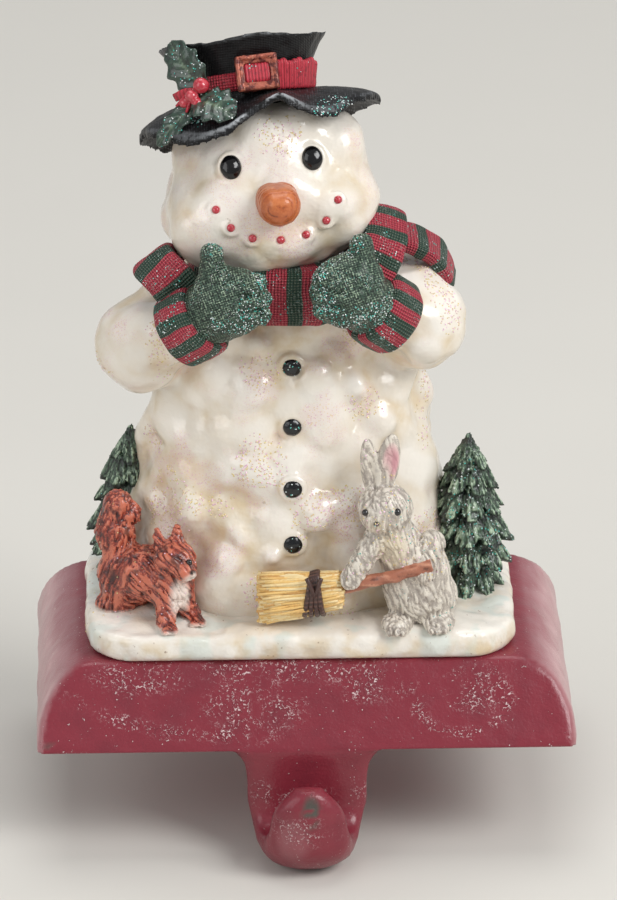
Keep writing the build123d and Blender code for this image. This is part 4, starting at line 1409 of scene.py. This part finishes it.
RABBIT_TOES = ((25.0, -35.0, 1.4), (35.0, -34.2, 1.4))
RABBIT_EARS = {
    # middle, radii and lean in degrees
    "left": ((18.8, -28.0, 41.0), (2.3, 1.7, 8.0), -6.0),
    "right": ((22.8, -28.4, 42.0), (2.9, 1.7, 8.4), 10.0),
}
ANIMAL_EYES = (
    # place and radius
    ((25.0, -35.0, 32.8), 0.95),
    ((17.4, -34.2, 32.4), 0.85),
    ((-24.6, -28.8, 17.4), 0.8),
)


def fur(points, size, seed, lay):
    """Strand pattern along the lay of the coat: 0 in the carved grooves and 1 on the hair."""
    lay = np.array(lay, float) / np.linalg.norm(lay)
    bent = points + 0.8 * jitter(points, 3.6, seed + 7)
    along = bent @ lay
    squeezed = bent - 0.87 * along[:, None] * lay
    coarse = np.abs(grain(squeezed, size, seed))
    fine = np.abs(grain(squeezed, size / 2, seed + 1))
    return np.clip(1.5 * coarse + 0.7 * fine, 0, 1)


def add_toes(clay, feet, spacing, radii, seam):
    """Three toes in front of each foot."""
    for x, y, z in feet:
        for step in (-1, 0, 1):
            clay.ball((x + spacing * step, y, z), radii, seam)


def squirrel_coat(points):
    """Strands of the squirrel, upright on its tail and slanted on its body."""
    tail = fur(points, 0.85, 71, (0.25, -0.1, 1))
    body = fur(points, 0.8, 75, (1, -0.5, -0.9))
    return np.where(points[:, 0] < -38.5 + 0.2 * (points[:, 2] - 14), tail, body)


def squirrel(colours):
    """Squirrel on all fours, with its tail up behind it."""
    clay = Clay((-51, -36, -2), (-18, -5, 33), cell=0.34)
    for middle, radii in SQUIRREL_BALLS.values():
        clay.ball(middle, radii, 1.2)
    for rod in SQUIRREL_RODS.values():
        clay.rod(*rod, 0.8)
    add_toes(clay, SQUIRREL_TOES, 1.1, (0.8, 1.3, 0.9), 0.3)
    clay.rough(lambda p: 0.75 * (squirrel_coat(p) - 0.55))

    def marks(points, normals):
        chest = near(points, (-26.6, -28.6, 7.6), (3.4, 3.6, 6.4))
        belly = chest + near(points, (-24.4, -29.6, 13.8), (2.4, 2.2, 1.8))
        paws = np.clip((1.5 - points[:, 2]) / 1.0, 0, 0.8)
        return {
            "strand": squirrel_coat(points),
            "belly": np.clip(0.85 * belly + paws, 0, 1),
            "pink": np.zeros(len(points)),
            "dark": near(points, (-24.0, -30.3, 15.4), (0.8, 0.8, 0.8)),
        }

    washes = (SQUIRREL_GROOVE, SQUIRREL_RIDGE, SQUIRREL_BELLY)
    paint = fur_paint("squirrel_paint", colours.squirrel, *washes, 1.0)
    add_clay("squirrel", clay, paint, marks=marks)


def rabbit_coat(points):
    """Strands of the rabbit, which hang down."""
    return fur(points, 0.75, 83, (0.25, -0.15, -1))


def rabbit(colours):
    """Standing rabbit with hollow ears, and the eyes of both animals."""
    clay = Clay((8, -40, -2), (43, -17, 54), cell=0.34)
    for middle, radii in RABBIT_BALLS.values():
        clay.ball(middle, radii, 1.2)
    for rod in RABBIT_RODS.values():
        clay.rod(*rod, 0.8)
    for middle, radii, lean in RABBIT_EARS.values():
        turn = Matrix.Rotation(math.radians(lean), 3, "Y")
        clay.ball(middle, radii, 0.8, turn=turn)
        hollow = (0.6 * radii[0], 1.4, 0.7 * radii[2])
        clay.ball(Vector(middle) + Vector((0.5, -2.1, 0.6)), hollow, 0.5, True, turn)
    add_toes(clay, RABBIT_TOES, 1.5, (1.0, 1.9, 1.2), 0.4)
    clay.rough(lambda p: 0.6 * np.clip((39.0 - p[:, 2]) / 3.0, 0.25, 1) * (rabbit_coat(p) - 0.55))

    def marks(points, normals):
        inner = near(points, (24.2, -30.4, 43.6), (2.9, 1.9, 6.0)) * (normals[:, 1] < 0)
        nose = near(points, (20.0, -36.5, 30.4), (1.0, 0.9, 0.8))
        light = 0.5 * near(points, (24.0, -34.0, 22.0), (4.5, 4.0, 6.5))
        light += 0.4 * near(points, (20.4, -35.0, 29.4), (3.2, 3, 2.6))
        return {
            "strand": rabbit_coat(points),
            "belly": np.clip(light, 0, 0.6),
            "pink": np.clip(inner, 0, 0.9),
            "dark": np.clip(nose, 0, 1),
        }

    washes = (RABBIT_GROOVE, RABBIT_RIDGE, RABBIT_BELLY)
    paint = fur_paint("rabbit_paint", colours.rabbit, *washes, 0.5)
    add_clay("rabbit", clay, paint, marks=marks)
    beads = Clay((-31, -38, 10), (30, -25, 36), cell=0.22)
    for place, radius in ANIMAL_EYES:
        beads.ball(place, radius)
    eye_paint = gloss_paint("animal_eye_paint", BEAD_BLACK, BEAD_STREAK, 0.12)
    add_clay("animal_eyes", beads, eye_paint)


BROOM_PLACES = np.array(((-6.4, -30.2, 8.3), (0.6, -30.8, 9.2), (5.4, -31.4, 9.9), (11.4, -32.2, 11.2)))
BROOM_HALVES = np.array((6.2, 5.7, 5.0, 4.4))  # half of the bundle's height at each place
BROOM_TIE = BROOM_PLACES[2]
STRAW_SEED = 5
STRAW_COUNT = 520
STRAW_WIDTH = 0.75
STRAW_SIDES = 5
TWINE_OFFSETS = (-1.5, -0.5, 0.5, 1.4)
HANDLE_PLACES = ((10.4, -32.2, 11.4), (17.0, -33.4, 13.6), (24.0, -34.4, 15.6), (33.4, -34.8, 18.6))
HANDLE_WIDTH = 3.1


def broom_straw(colours):
    """Bundle of separate straws round a core."""
    random = np.random.default_rng(STRAW_SEED)
    route = smooth_route(BROOM_PLACES, 12)
    halves = np.interp(np.linspace(0, 3, len(route)), range(4), 0.86 * BROOM_HALVES)
    core = strap_rings(route, (0, 1, 0), 1.0, 2.0, 16, 2.0) - route[:, None, :]
    core = route[:, None, :] + core * halves[:, None, None]
    parts, strands = [tube(core)], [np.full(core.shape[0] * core.shape[1], 0.3)]
    for _ in range(STRAW_COUNT):
        turn = random.uniform(0, FULL_TURN)
        share = math.sqrt(random.uniform(0.45, 1.1))
        start = random.uniform(-2.0, 2.2)
        shifts = (start, 0.0, 0.0, 0.5 * start)
        route = []
        for place, half, shift in zip(BROOM_PLACES, BROOM_HALVES, shifts):
            out = np.array((0, 0.5 * half * share * math.cos(turn), half * share * math.sin(turn)))
            route.append(place + out + (shift, 0, 0) + random.normal(0, 0.22, 3))
        rings = strap_rings(smooth_route(route, 9), (0, 1, 0), STRAW_WIDTH, STRAW_WIDTH, STRAW_SIDES, 2.0)
        parts.append(tube(rings))
        strands.append(np.full(len(rings) * STRAW_SIDES, random.uniform(0.1, 1.0)))
    points, faces = merged(parts)
    paint = straw_paint("straw_paint", colours.straw, STRAW_SHADOW, STRAW_LIGHT)
    add_piece("broom_straw", points, faces, paint, strand=np.concatenate(strands))


def broom_twine():
    """Four turns of twine round the bundle, and the two ends of its knot."""
    wraps, strands = [], []
    for offset in TWINE_OFFSETS:
        middle = BROOM_TIE + (offset, -0.2 * offset, 0.2 * offset)
        axis = (1, -0.1, 0.1 * offset)
        rings = ring_rings(middle, axis, (0, 0, 1), (5.5, 3.1), 1.4, 1.3, 60, 10, 2.0)
        wraps.append(tube(rings, closed=True))
        strands.append(0.5 + 0.5 * np.sin(np.arange(rings.shape[0] * rings.shape[1]) * 0.9))
    for lean in (0.3, -0.4):
        places = ((0, -3.2, 0.5), (lean * 2, -3.9, 3.0), (lean * 5, -3.4, 5.6))
        route = smooth_route([BROOM_TIE + place for place in places], 10)
        rings = strap_rings(route, (1, 0, 0), 1.1, 1.1, 8, 2.0)
        wraps.append(tube(rings))
        strands.append(np.full(rings.shape[0] * rings.shape[1], 0.5))
    points, faces = merged(wraps)
    paint = straw_paint("twine_paint", TWINE, TWINE_SHADOW, TWINE_LIGHT)
    add_piece("broom_twine", points, faces, paint, strand=np.concatenate(strands))


def broom_handle(colours):
    """Stick with rough bark."""
    around = 24
    route = smooth_route(HANDLE_PLACES, 60)
    rings = strap_rings(route, (0, 1, 0), HANDLE_WIDTH, HANDLE_WIDTH, around, 2.0)
    flat = rings.reshape(-1, 3)
    bark = grain(flat * (0.25, 1, 1), 0.8, 91)
    out = flat - np.repeat(route, around, axis=0)
    points, faces = tube((flat + out * 0.22 * bark[:, None]).reshape(rings.shape))
    paint = straw_paint("handle_paint", colours.handle, BARK_SHADOW, BARK_LIGHT)
    add_piece("broom_handle", points, faces, paint, strand=0.5 + 0.5 * bark)


# Fir trees

TREES = {
    # place on the snow, height and seed
    "right": ((43.6, -7.0), 39.8, 94),
    "left": ((-38.2, 3.0), 38.8, 97),
}
TREE_TIERS = (
    # height of the tier's hem as a share of the tree's height, its reach and its number of tufts
    (0.02, 8.6, 7),
    (0.19, 9.8, 8),
    (0.37, 9.6, 8),
    (0.53, 8.3, 7),
    (0.68, 6.6, 6),
    (0.82, 4.7, 5),
    (1.0, 0.0, 0),
)
TIER_RISE = 1.15  # height of a tier as a share of the spacing


def needles(points, x, y, seed):
    """Carved needle strokes that run down the branches: 0 in the grooves and 1 between them."""
    turn = np.arctan2(points[:, 0] - x, y - points[:, 1])
    wound = np.stack([turn * 7.5, 0 * turn, 0.14 * points[:, 2]], axis=1) + 0.4 * jitter(points, 2.0, seed)
    coarse = np.abs(grain(wound, 0.62, seed + 5))
    fine = np.abs(grain(wound, 0.31, seed + 6))
    return np.clip(1.6 * coarse + 0.4 * fine, 0, 1)


def fir_trees(colours):
    """Two firs with tiers of tufts."""
    paint = fir_paint(colours)
    for name, ((x, y), height, seed) in TREES.items():
        random = np.random.default_rng(seed)
        clay = Clay((x - 13, y - 13, -4), (x + 13, y + 13, height + 2), cell=0.39)
        clay.rod((x, y, -3), (x, y, height - 6), 5.0, 1.0)
        for (share, reach, tufts), (next_share, _, _) in itertools.pairwise(TREE_TIERS):
            hem, spacing = share * height, (next_share - share) * height
            taper = 0.42 if next_share < 1 else 0.85
            phase = random.uniform(0, FULL_TURN)
            lean = random.uniform(0, FULL_TURN)

            def tier(px, py, pz):
                turn = np.arctan2(py - y, px - x)
                tuft = np.abs(np.sin(0.5 * tufts * turn + phase)) - 0.6 + 0.25 * np.sin(turn + lean)
                low = hem - 2.6 * tuft
                rise = (pz - low) / (height * next_share - low)
                radius = (reach + 2.2 * tuft) * (1 - taper * np.clip(rise, 0, 1.2))
                sides = 0.8 * (np.hypot(px - x, py - y) - radius)
                return np.maximum(sides, np.maximum(low - pz, pz - hem - TIER_RISE * spacing))

            top = hem + TIER_RISE * spacing
            clay.press((x - 12, y - 12, hem - 2), (x + 12, y + 12, top), tier, 0.15)
        clay.rough(lambda p: 0.75 * (needles(p, x, y, seed) - 0.6))

        def marks(points, normals):
            hems = [share for share, _, _ in TREE_TIERS]
            place = np.interp(points[:, 2] / height, hems, range(len(hems))) % 1
            # painted shade just under each tier's hem and on what faces down
            under = np.clip((place - 0.55) / 0.4, 0, 1) + np.clip(-1.5 * normals[:, 2], 0, 1)
            return {"strand": needles(points, x, y, seed) * (1 - 0.75 * np.clip(under, 0, 1))}

        add_clay(f"fir_tree_{name}", clay, paint, marks=marks)


# Iron base and screw

IRON_CELL = 1.1
IRON_HEM = 0.6  # the base's skin is even below this height
HOOK_BACK = -42.5  # what lies in front of this is the hook or the base's front edge
SWIRL_PATCHES = (
    # place across and height of the middle, and its reach both ways
    (-12.0, 9.5, 14.0, 9.0),
    (-40.0, 15.0, 14.0, 4.0),
    (15.0, 13.0, 13.0, 4.0),
    (41.0, 12.0, 9.0, 6.0),
    (-3.0, 16.5, 30.0, 3.0),
    (0.0, -14.0, 10.0, 5.0),
    (-11.0, -11.0, 3.0, 5.0),
    (13.0, -11.0, 3.0, 5.0),
)


def brush_swirls(points):
    """1 where the brush left rough swirls on the front of the base, which get painted highlights, and 0
    elsewhere.
    """
    x, z = points[:, 0], points[:, 2]
    curve = z - 3.2 - 9.0 * ((x + 22.0) / 37.0) ** 2
    sweep = np.clip(1.5 - np.abs(curve) / 1.1, 0, 1) * (x > -60) * (x < -18)
    oval = np.hypot((x - 37.5) / 11.5, (z - 9.5) / 6.6)
    ring = np.clip(1.4 - np.abs(oval - 0.95) / 0.12, 0, 1) * (x - 1.6 * z > 10)
    patches = [
        np.clip(1.4 * (1 - np.hypot((x - middle_x) / reach_x, (z - middle_z) / reach_z)), 0, 1)
        for middle_x, middle_z, reach_x, reach_z in SWIRL_PATCHES
    ]
    broken = np.clip(0.7 + 1.1 * grain(points, 4.0, 37), 0, 1)
    return np.clip(1.3 * np.maximum.reduce([sweep, ring, *patches]) * broken, 0, 1)


def iron_base(colours):
    """Cast base and hook from their CAD node, with an uneven skin, brush marks with painted highlights, a
    painted sheen and chips.
    """
    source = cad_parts["hook_base"].data.copy()
    rough = bpy.data.objects.new("iron_blank", source)
    bpy.context.scene.collection.objects.link(rough)
    remesh = rough.modifiers.new("skin", "REMESH")
    remesh.mode = "VOXEL"
    remesh.voxel_size = IRON_CELL * MM
    settle = rough.modifiers.new("soft", "SMOOTH")
    settle.factor = 0.5
    settle.iterations = 3
    cooked = bpy.data.meshes.new_from_object(rough.evaluated_get(bpy.context.evaluated_depsgraph_get()))
    points = np.empty(len(cooked.vertices) * 3, np.float32)
    cooked.vertices.foreach_get("co", points)
    points = points.reshape(-1, 3).astype(float) / MM
    normals = np.empty(len(cooked.vertices) * 3, np.float32)
    cooked.vertices.foreach_get("normal", normals)
    normals = normals.reshape(-1, 3).astype(float)
    faces = [tuple(face.vertices) for face in cooked.polygons]
    bpy.data.objects.remove(rough)
    cast = 0.22 * grain(points, 7.0, 31) + 0.1 * grain(points, 2.5, 32)
    uneven_part = (points[:, 2] > IRON_HEM) | (points[:, 1] < HOOK_BACK)
    points = points + normals * (cast * uneven_part)[:, None]
    tip = near(points, (0.5, -57.0, -9.0), (2.6, 4.0, 5.0)) * (grain(points, 1.2, 33) > -0.1)
    corner = 0.8 * near(points, (-62.0, -43.0, 2.0), (4.0, 3.0, 2.4)) * (grain(points, 1.4, 34) > 0.2)
    # where the brush's swirls get painted highlights
    scuff = brush_swirls(points) * np.clip(-2 * normals[:, 1], 0, 1)
    # painted reflection on the front of the hook's tongue
    tongue = near(points, (-4.0, -58.0, -17.0), (5.0, 6.0, 7.0)) * np.clip(-normals[:, 1], 0, 1)
    add_piece(
        "iron_base",
        points,
        faces,
        iron_paint(colours),
        Matrix.Identity(4),
        "hook_base",
        "maroon_iron",
        scuff=scuff,
        # painted reflection on the ends that face sideways and on the tongue
        sheen=np.clip(1.6 * np.abs(normals[:, 0]) - 0.35, 0, 1) * (points[:, 2] > 0) + 0.25 * tongue,
        chip=np.clip(tip + corner, 0, 1),
    )


def screw_finish():
    """Zinc finish on the screw's CAD node."""
    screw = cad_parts["fixing_screw"]
    screw.data.materials.clear()
    screw.data.materials.append(steel_paint())


# Glitter

GLITTER_SEED = 13
FLAKE_THICKNESS = 0.09
FLAKE_SPIN = 6.28  # flakes lie turned by any angle up to this one
FLAKE_FACES = ((3, 2, 1, 0), (4, 5, 6, 7), (0, 1, 5, 4), (1, 2, 6, 5), (2, 3, 7, 6), (3, 0, 4, 7))


def scatter(piece, count, random, choose):
    """Random places on a piece's faces, with their normals; choose gives how likely each place is."""
    mesh = bpy.data.objects[piece].data
    mesh.calc_loop_triangles()
    triangles = np.empty(len(mesh.loop_triangles) * 3, np.int32)
    mesh.loop_triangles.foreach_get("vertices", triangles)
    places = np.empty(len(mesh.vertices) * 3, np.float32)
    mesh.vertices.foreach_get("co", places)
    corners = (places.reshape(-1, 3).astype(float) / MM)[triangles.reshape(-1, 3)]
    normals = np.cross(corners[:, 1] - corners[:, 0], corners[:, 2] - corners[:, 0])
    area = np.linalg.norm(normals, axis=1)
    normals /= area[:, None] + 1e-12
    likely = area * choose(corners.mean(axis=1), normals)
    picks = random.choice(len(corners), count, p=likely / likely.sum())
    mix = random.dirichlet((1, 1, 1), count)
    return (corners[picks] * mix[:, :, None]).sum(axis=1), normals[picks]


def chips(places, normals, random, smallest, largest):
    """Thin closed square flakes that lie loosely on a surface, with a tint for each corner."""
    points, faces, tints = [], [], []
    for place, normal in zip(places, normals):
        up = Vector(normal + random.normal(0, 0.3, 3)).normalized()
        side = up.orthogonal().normalized()
        side.rotate(Matrix.Rotation(random.uniform(0, FLAKE_SPIN), 3, up))
        beside = up.cross(side)
        half = random.uniform(smallest, largest) / 2
        base = len(points)
        for lift in (0.0, FLAKE_THICKNESS):
            for first, second in ((-1, -1), (1, -1), (1, 1), (-1, 1)):
                points.append(Vector(place) + up * lift + half * (first * side + second * beside))
        tints += [random.uniform()] * 8
        for face in FLAKE_FACES:
            faces.append(tuple(base + corner for corner in face))
    return np.array(points), faces, np.array(tints)


def facing_front(points, normals):
    """Likelihood of glitter on what faces the front and the top."""
    return np.clip(0.1 + 0.45 * normals[:, 2] - 0.9 * normals[:, 1], 0.02, 1)


def patchy(size, level, seed):
    """Likelihood of glitter in patches of a size, on what faces the front."""

    def likely(points, normals):
        return facing_front(points, normals) * np.clip(6 * (grain(points, size, seed) - level), 0, 1)

    return likely


def on_forehead(points, normals):
    """Likelihood of glitter on the forehead, below the brim."""
    return facing_front(points, normals) * near(points, (-5.0, -20.0, 147.0), (8.0, 20.0, 7.0))


def glitter(amount):
    """Frosty and pearly flakes on the painted pieces; amount is a share of their full numbers."""
    cold = (
        # piece, number and size of its flakes, and where they lie
        ("mittens", 900, 0.36, patchy(9.0, 0.0, 1)),
        ("scarf", 330, 0.36, patchy(8.0, 0.0, 2)),
        ("mitten_cuffs", 240, 0.36, patchy(8.0, -0.1, 3)),
        ("hat_felt", 150, 0.4, lambda p, n: patchy(9.0, -0.1, 4)(p, n) * (p[:, 1] < -2.5)),
        ("holly_leaves", 130, 0.36, facing_front),
        ("hat_band", 18, 0.34, patchy(6.0, 0.1, 4)),
        ("fir_tree_right", 420, 0.4, patchy(8.0, 0.0, 5)),
        ("fir_tree_left", 70, 0.36, patchy(8.0, 0.1, 6)),
        ("buttons", 40, 0.34, facing_front),
        ("rabbit", 70, 0.34, patchy(7.0, 0.1, 7)),
    )
    warm = (
        ("snow_body", 3000, 0.4, patchy(11.0, 0.22, 8)),
        ("snow_head", 150, 0.38, on_forehead),
        ("rabbit", 260, 0.4, lambda p, n: patchy(7.0, -0.1, 9)(p, n) * (p[:, 2] > 40)),
        ("squirrel", 40, 0.36, facing_front),
        ("snow_ground", 140, 0.4, patchy(14.0, 0.1, 10)),
    )
    for name, groups, first, second, metallic in (
        ("glitter_frost", cold, FROST_TEAL, FROST_WHITE, 0.4),
        ("glitter_pearl", warm, PEARL_GOLD, PEARL_PINK, 0.25),
    ):
        random = np.random.default_rng(GLITTER_SEED)
        parts, tints = [], []
        for piece, count, size, choose in groups:
            places, normals = scatter(piece, round(count * amount), random, choose)
            points, faces, tint = chips(places, normals, random, 0.5 * size, size)
            parts.append((points, faces))
            tints.append(tint)
        points, faces = merged(parts)
        paint = glitter_paint(f"{name}_paint", first, second, metallic)
        add_piece(name, points, faces, paint, Matrix.Identity(4), tint=np.concatenate(tints))


# Stage

AZIMUTH, ELEVATION = math.radians(-1.75), math.radians(26.0)
DISTANCE = 1.67235  # metres from the camera to the origin
FRAME_HEIGHT = 900.0  # pixels
FOCAL_LENGTH = 6795.0  # pixels
FRAME_MIDDLE = (308.5, 450.0)  # pixels
ORIGIN_PLACE = (301.8, 674.3)  # pixels from the picture's top left corner
SENSOR_WIDTH = 36.0
FLOOR_REACH = 8.0  # metres
LIT_PLACE = Vector((0, 0, 0.06))  # what the lamps point at, in metres


def photo_camera():
    """Long lens that looks down on the holder from nearly straight in front."""
    flat = math.cos(ELEVATION)
    back = Vector((math.sin(AZIMUTH) * flat, -math.cos(AZIMUTH) * flat, math.sin(ELEVATION)))
    right = Vector((math.cos(AZIMUTH), math.sin(AZIMUTH), 0))
    up = back.cross(right)
    shift_right, shift_up = FRAME_MIDDLE[0] - ORIGIN_PLACE[0], ORIGIN_PLACE[1] - FRAME_MIDDLE[1]
    aim = DISTANCE / FOCAL_LENGTH * (right * shift_right + up * shift_up)
    camera = bpy.data.cameras.new("photo_camera")
    camera.sensor_width = SENSOR_WIDTH
    camera.lens = SENSOR_WIDTH * FOCAL_LENGTH / FRAME_HEIGHT
    camera.clip_end = 50.0
    viewer = bpy.data.objects.new("photo_camera", camera)
    viewer.location = DISTANCE * back
    viewer.rotation_euler = (aim - viewer.location).to_track_quat("-Z", "Y").to_euler()
    bpy.context.scene.collection.objects.link(viewer)
    bpy.context.scene.camera = viewer


def studio_floor(colours):
    """Plain paper below the hook."""
    level = CAD_BOX[0][2] - 0.1 * MM
    corners = [(x * FLOOR_REACH, y * FLOOR_REACH, level) for x, y in ((-1, -1), (1, -1), (1, 1), (-1, 1))]
    mesh = bpy.data.meshes.new("studio_floor")
    mesh.from_pydata(corners, [], [(0, 1, 2, 3)])
    paper = Paint("studio_paper")
    tone = paper.mix(colours.paper, tuple(0.97 * share for share in colours.paper), paper.noise(60.0, 2.0))
    mesh.materials.append(paper.finish(tone, 0.9, specular=0.1))
    floor = bpy.data.objects.new("studio_floor", mesh)
    bpy.context.scene.collection.objects.link(floor)


def studio_light(key_power):
    """Three softboxes and a pale surround."""
    for name, place, size, power in (
        ("key_softbox", (0.9, -0.64, 0.98), 0.7, key_power),
        ("fill_softbox", (-1.05, -0.75, 0.7), 1.0, 0.4 * key_power),
        ("top_softbox", (0.0, 0.35, 1.35), 0.9, 0.45 * key_power),
    ):
        lamp = bpy.data.lights.new(name, "AREA")
        lamp.shape = "SQUARE"
        lamp.size = size
        lamp.energy = power
        lit = bpy.data.objects.new(name, lamp)
        lit.location = place
        lit.rotation_euler = (LIT_PLACE - lit.location).to_track_quat("-Z", "Y").to_euler()
        bpy.context.scene.collection.objects.link(lit)
    world = bpy.data.worlds.new("studio")
    world.use_nodes = True
    surround = world.node_tree.nodes["Background"].inputs
    surround["Color"].default_value = (0.86, 0.87, 0.88, 1.0)
    surround["Strength"].default_value = 0.44
    bpy.context.scene.world = world


# Add-on

def colour_property(name, description, value):
    return bpy.props.FloatVectorProperty(
        name=name, description=description, subtype="COLOR", size=3, min=0.0, max=1.0, default=value
    )


class HolderColours(bpy.types.PropertyGroup):
    """Paint colours of the holder."""

    snow: colour_property("Snow", "Cream paint of the snow", srgb(243, 237, 227))
    # also the colour of the painted shade in the snow's creases, on what faces down and below the scarf
    aged_and_shaded_snow: colour_property("Aged snow", "Yellowed varnish over the snow", srgb(222, 202, 168))
    blush: colour_property("Blush", "Pink tint in the glitter patches", srgb(236, 206, 204))
    hat: colour_property("Hat", "Black felt of the hat", srgb(13, 13, 15))
    band: colour_property("Hat band", "Red ribbon of the hat", srgb(206, 58, 74))
    buckle: colour_property("Buckle", "Copper of the buckle", srgb(178, 98, 78))
    berry: colour_property("Berries", "Red of the berries and the mouth", srgb(186, 42, 58))
    holly: colour_property("Holly", "Green of the holly leaves", srgb(40, 64, 51))
    mitten: colour_property("Mittens", "Green of the mittens", srgb(52, 80, 64))
    knit_red: colour_property("Knit red", "Red stripes of the scarf", srgb(204, 58, 80))
    knit_green: colour_property("Knit green", "Green stripes of the scarf", srgb(50, 84, 68))
    carrot: colour_property("Carrot", "Orange of the nose", srgb(182, 94, 48))
    squirrel: colour_property("Squirrel", "Rust coat of the squirrel", srgb(150, 58, 43))
    rabbit: colour_property("Rabbit", "Grey coat of the rabbit", srgb(192, 182, 170))
    straw: colour_property("Straw", "Straw of the broom", srgb(242, 202, 128))
    handle: colour_property("Handle", "Stick of the broom", srgb(172, 108, 84))
    fir: colour_property("Fir", "Green of the trees", srgb(66, 90, 70))
    iron: colour_property("Iron", "Maroon enamel of the base", srgb(132, 44, 57))
    iron_shade: colour_property("Iron shade", "Darker places in the enamel", srgb(110, 32, 46))
    paper: colour_property("Paper", "Paper that the holder stands on", srgb(217, 214, 207))


class HolderSizes(bpy.types.PropertyGroup):
    """Sizes and amounts of the holder's finish."""

    snow_lump_depth: bpy.props.FloatProperty(
        name="Snow lump depth",
        description="Depth of the dents in the packed snow",
        default=3.9 * MM,
        unit="LENGTH",
    )
    glitter_amount: bpy.props.FloatProperty(
        name="Glitter amount",
        description="Share of the full number of glitter flakes",
        default=1.0,
        subtype="FACTOR",
    )
    key_power: bpy.props.FloatProperty(
        name="Key light", description="Power of the main studio lamp", default=13.6, unit="POWER"
    )


class HOLDER_OT_iron_base(bpy.types.Operator):
    """Casts the maroon iron base with its hook and finishes the screw"""

    bl_idname = "holder.iron_base"
    bl_label = "Iron base"
    bl_options = {"REGISTER", "UNDO"}

    def execute(self, context):
        colours = context.scene.holder_colours
        iron_base(colours)
        screw_finish()
        return {"FINISHED"}


class HOLDER_OT_snow_ground(bpy.types.Operator):
    """Models the snow that the group stands on"""

    bl_idname = "holder.snow_ground"
    bl_label = "Snow ground"
    bl_options = {"REGISTER", "UNDO"}

    def execute(self, context):
        snow_ground(context.scene.holder_colours)
        return {"FINISHED"}


class HOLDER_OT_snowman(bpy.types.Operator):
    """Models the snowman's body, buttons, head and face"""

    bl_idname = "holder.snowman"
    bl_label = "Snowman"
    bl_options = {"REGISTER", "UNDO"}

    def execute(self, context):
        colours = context.scene.holder_colours
        snow_body(context.scene.holder_sizes.snow_lump_depth / MM, colours)
        snow_head(colours)
        return {"FINISHED"}


class HOLDER_OT_hat(bpy.types.Operator):
    """Models the hat with its band, buckle and holly"""

    bl_idname = "holder.hat"
    bl_label = "Hat"
    bl_options = {"REGISTER", "UNDO"}

    def execute(self, context):
        hat(context.scene.holder_colours)
        return {"FINISHED"}


class HOLDER_OT_knits(bpy.types.Operator):
    """Models the mittens, their cuffs and the scarf"""

    bl_idname = "holder.knits"
    bl_label = "Mittens and scarf"
    bl_options = {"REGISTER", "UNDO"}

    def execute(self, context):
        colours = context.scene.holder_colours
        mittens(colours)
        cuffs(colours)
        scarf(colours)
        return {"FINISHED"}


class HOLDER_OT_animals(bpy.types.Operator):
    """Models the squirrel, and the rabbit with its broom"""

    bl_idname = "holder.animals"
    bl_label = "Animals"
    bl_options = {"REGISTER", "UNDO"}

    def execute(self, context):
        colours = context.scene.holder_colours
        squirrel(colours)
        rabbit(colours)
        broom_straw(colours)
        broom_twine()
        broom_handle(colours)
        return {"FINISHED"}


class HOLDER_OT_fir_trees(bpy.types.Operator):
    """Models the two fir trees"""

    bl_idname = "holder.fir_trees"
    bl_label = "Fir trees"
    bl_options = {"REGISTER", "UNDO"}

    def execute(self, context):
        fir_trees(context.scene.holder_colours)
        return {"FINISHED"}


class HOLDER_OT_glitter(bpy.types.Operator):
    """Scatters glitter flakes over the painted pieces"""

    bl_idname = "holder.glitter"
    bl_label = "Glitter"
    bl_options = {"REGISTER", "UNDO"}

    def execute(self, context):
        glitter(context.scene.holder_sizes.glitter_amount)
        return {"FINISHED"}


class HOLDER_OT_stage(bpy.types.Operator):
    """Sets up the camera, the floor and the studio light"""

    bl_idname = "holder.stage"
    bl_label = "Stage"
    bl_options = {"REGISTER", "UNDO"}

    def execute(self, context):
        context.scene.view_settings.view_transform = "Standard"
        photo_camera()
        studio_floor(context.scene.holder_colours)
        studio_light(context.scene.holder_sizes.key_power)
        return {"FINISHED"}


OPERATORS = (
    HOLDER_OT_stage,
    HOLDER_OT_iron_base,
    HOLDER_OT_snow_ground,
    HOLDER_OT_snowman,
    HOLDER_OT_hat,
    HOLDER_OT_knits,
    HOLDER_OT_animals,
    HOLDER_OT_fir_trees,
    HOLDER_OT_glitter,
)


class HOLDER_PT_panel(bpy.types.Panel):
    """Lists the holder's pieces, colours and sizes"""

    bl_idname = "HOLDER_PT_panel"
    bl_label = "Stocking holder"
    bl_space_type = "VIEW_3D"
    bl_region_type = "UI"
    bl_category = "Holder"

    def draw(self, context):
        for operator in OPERATORS:
            self.layout.operator(operator.bl_idname)
        for group in (context.scene.holder_sizes, context.scene.holder_colours):
            for name in group.__annotations__:
                self.layout.prop(group, name)


CLASSES = (HolderColours, HolderSizes, *OPERATORS, HOLDER_PT_panel)


def register():
    for kind in CLASSES:
        bpy.utils.register_class(kind)
    bpy.types.Scene.holder_colours = bpy.props.PointerProperty(type=HolderColours)
    bpy.types.Scene.holder_sizes = bpy.props.PointerProperty(type=HolderSizes)


def unregister():
    del bpy.types.Scene.holder_sizes
    del bpy.types.Scene.holder_colours
    for kind in reversed(CLASSES):
        bpy.utils.unregister_class(kind)


def main():
    register()
    bpy.ops.holder.stage()
    bpy.ops.holder.iron_base()
    bpy.ops.holder.snow_ground()
    bpy.ops.holder.snowman()
    bpy.ops.holder.hat()
    bpy.ops.holder.knits()
    bpy.ops.holder.animals()
    bpy.ops.holder.fir_trees()
    bpy.ops.holder.glitter()
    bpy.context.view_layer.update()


if __name__ == "__main__":
    main()
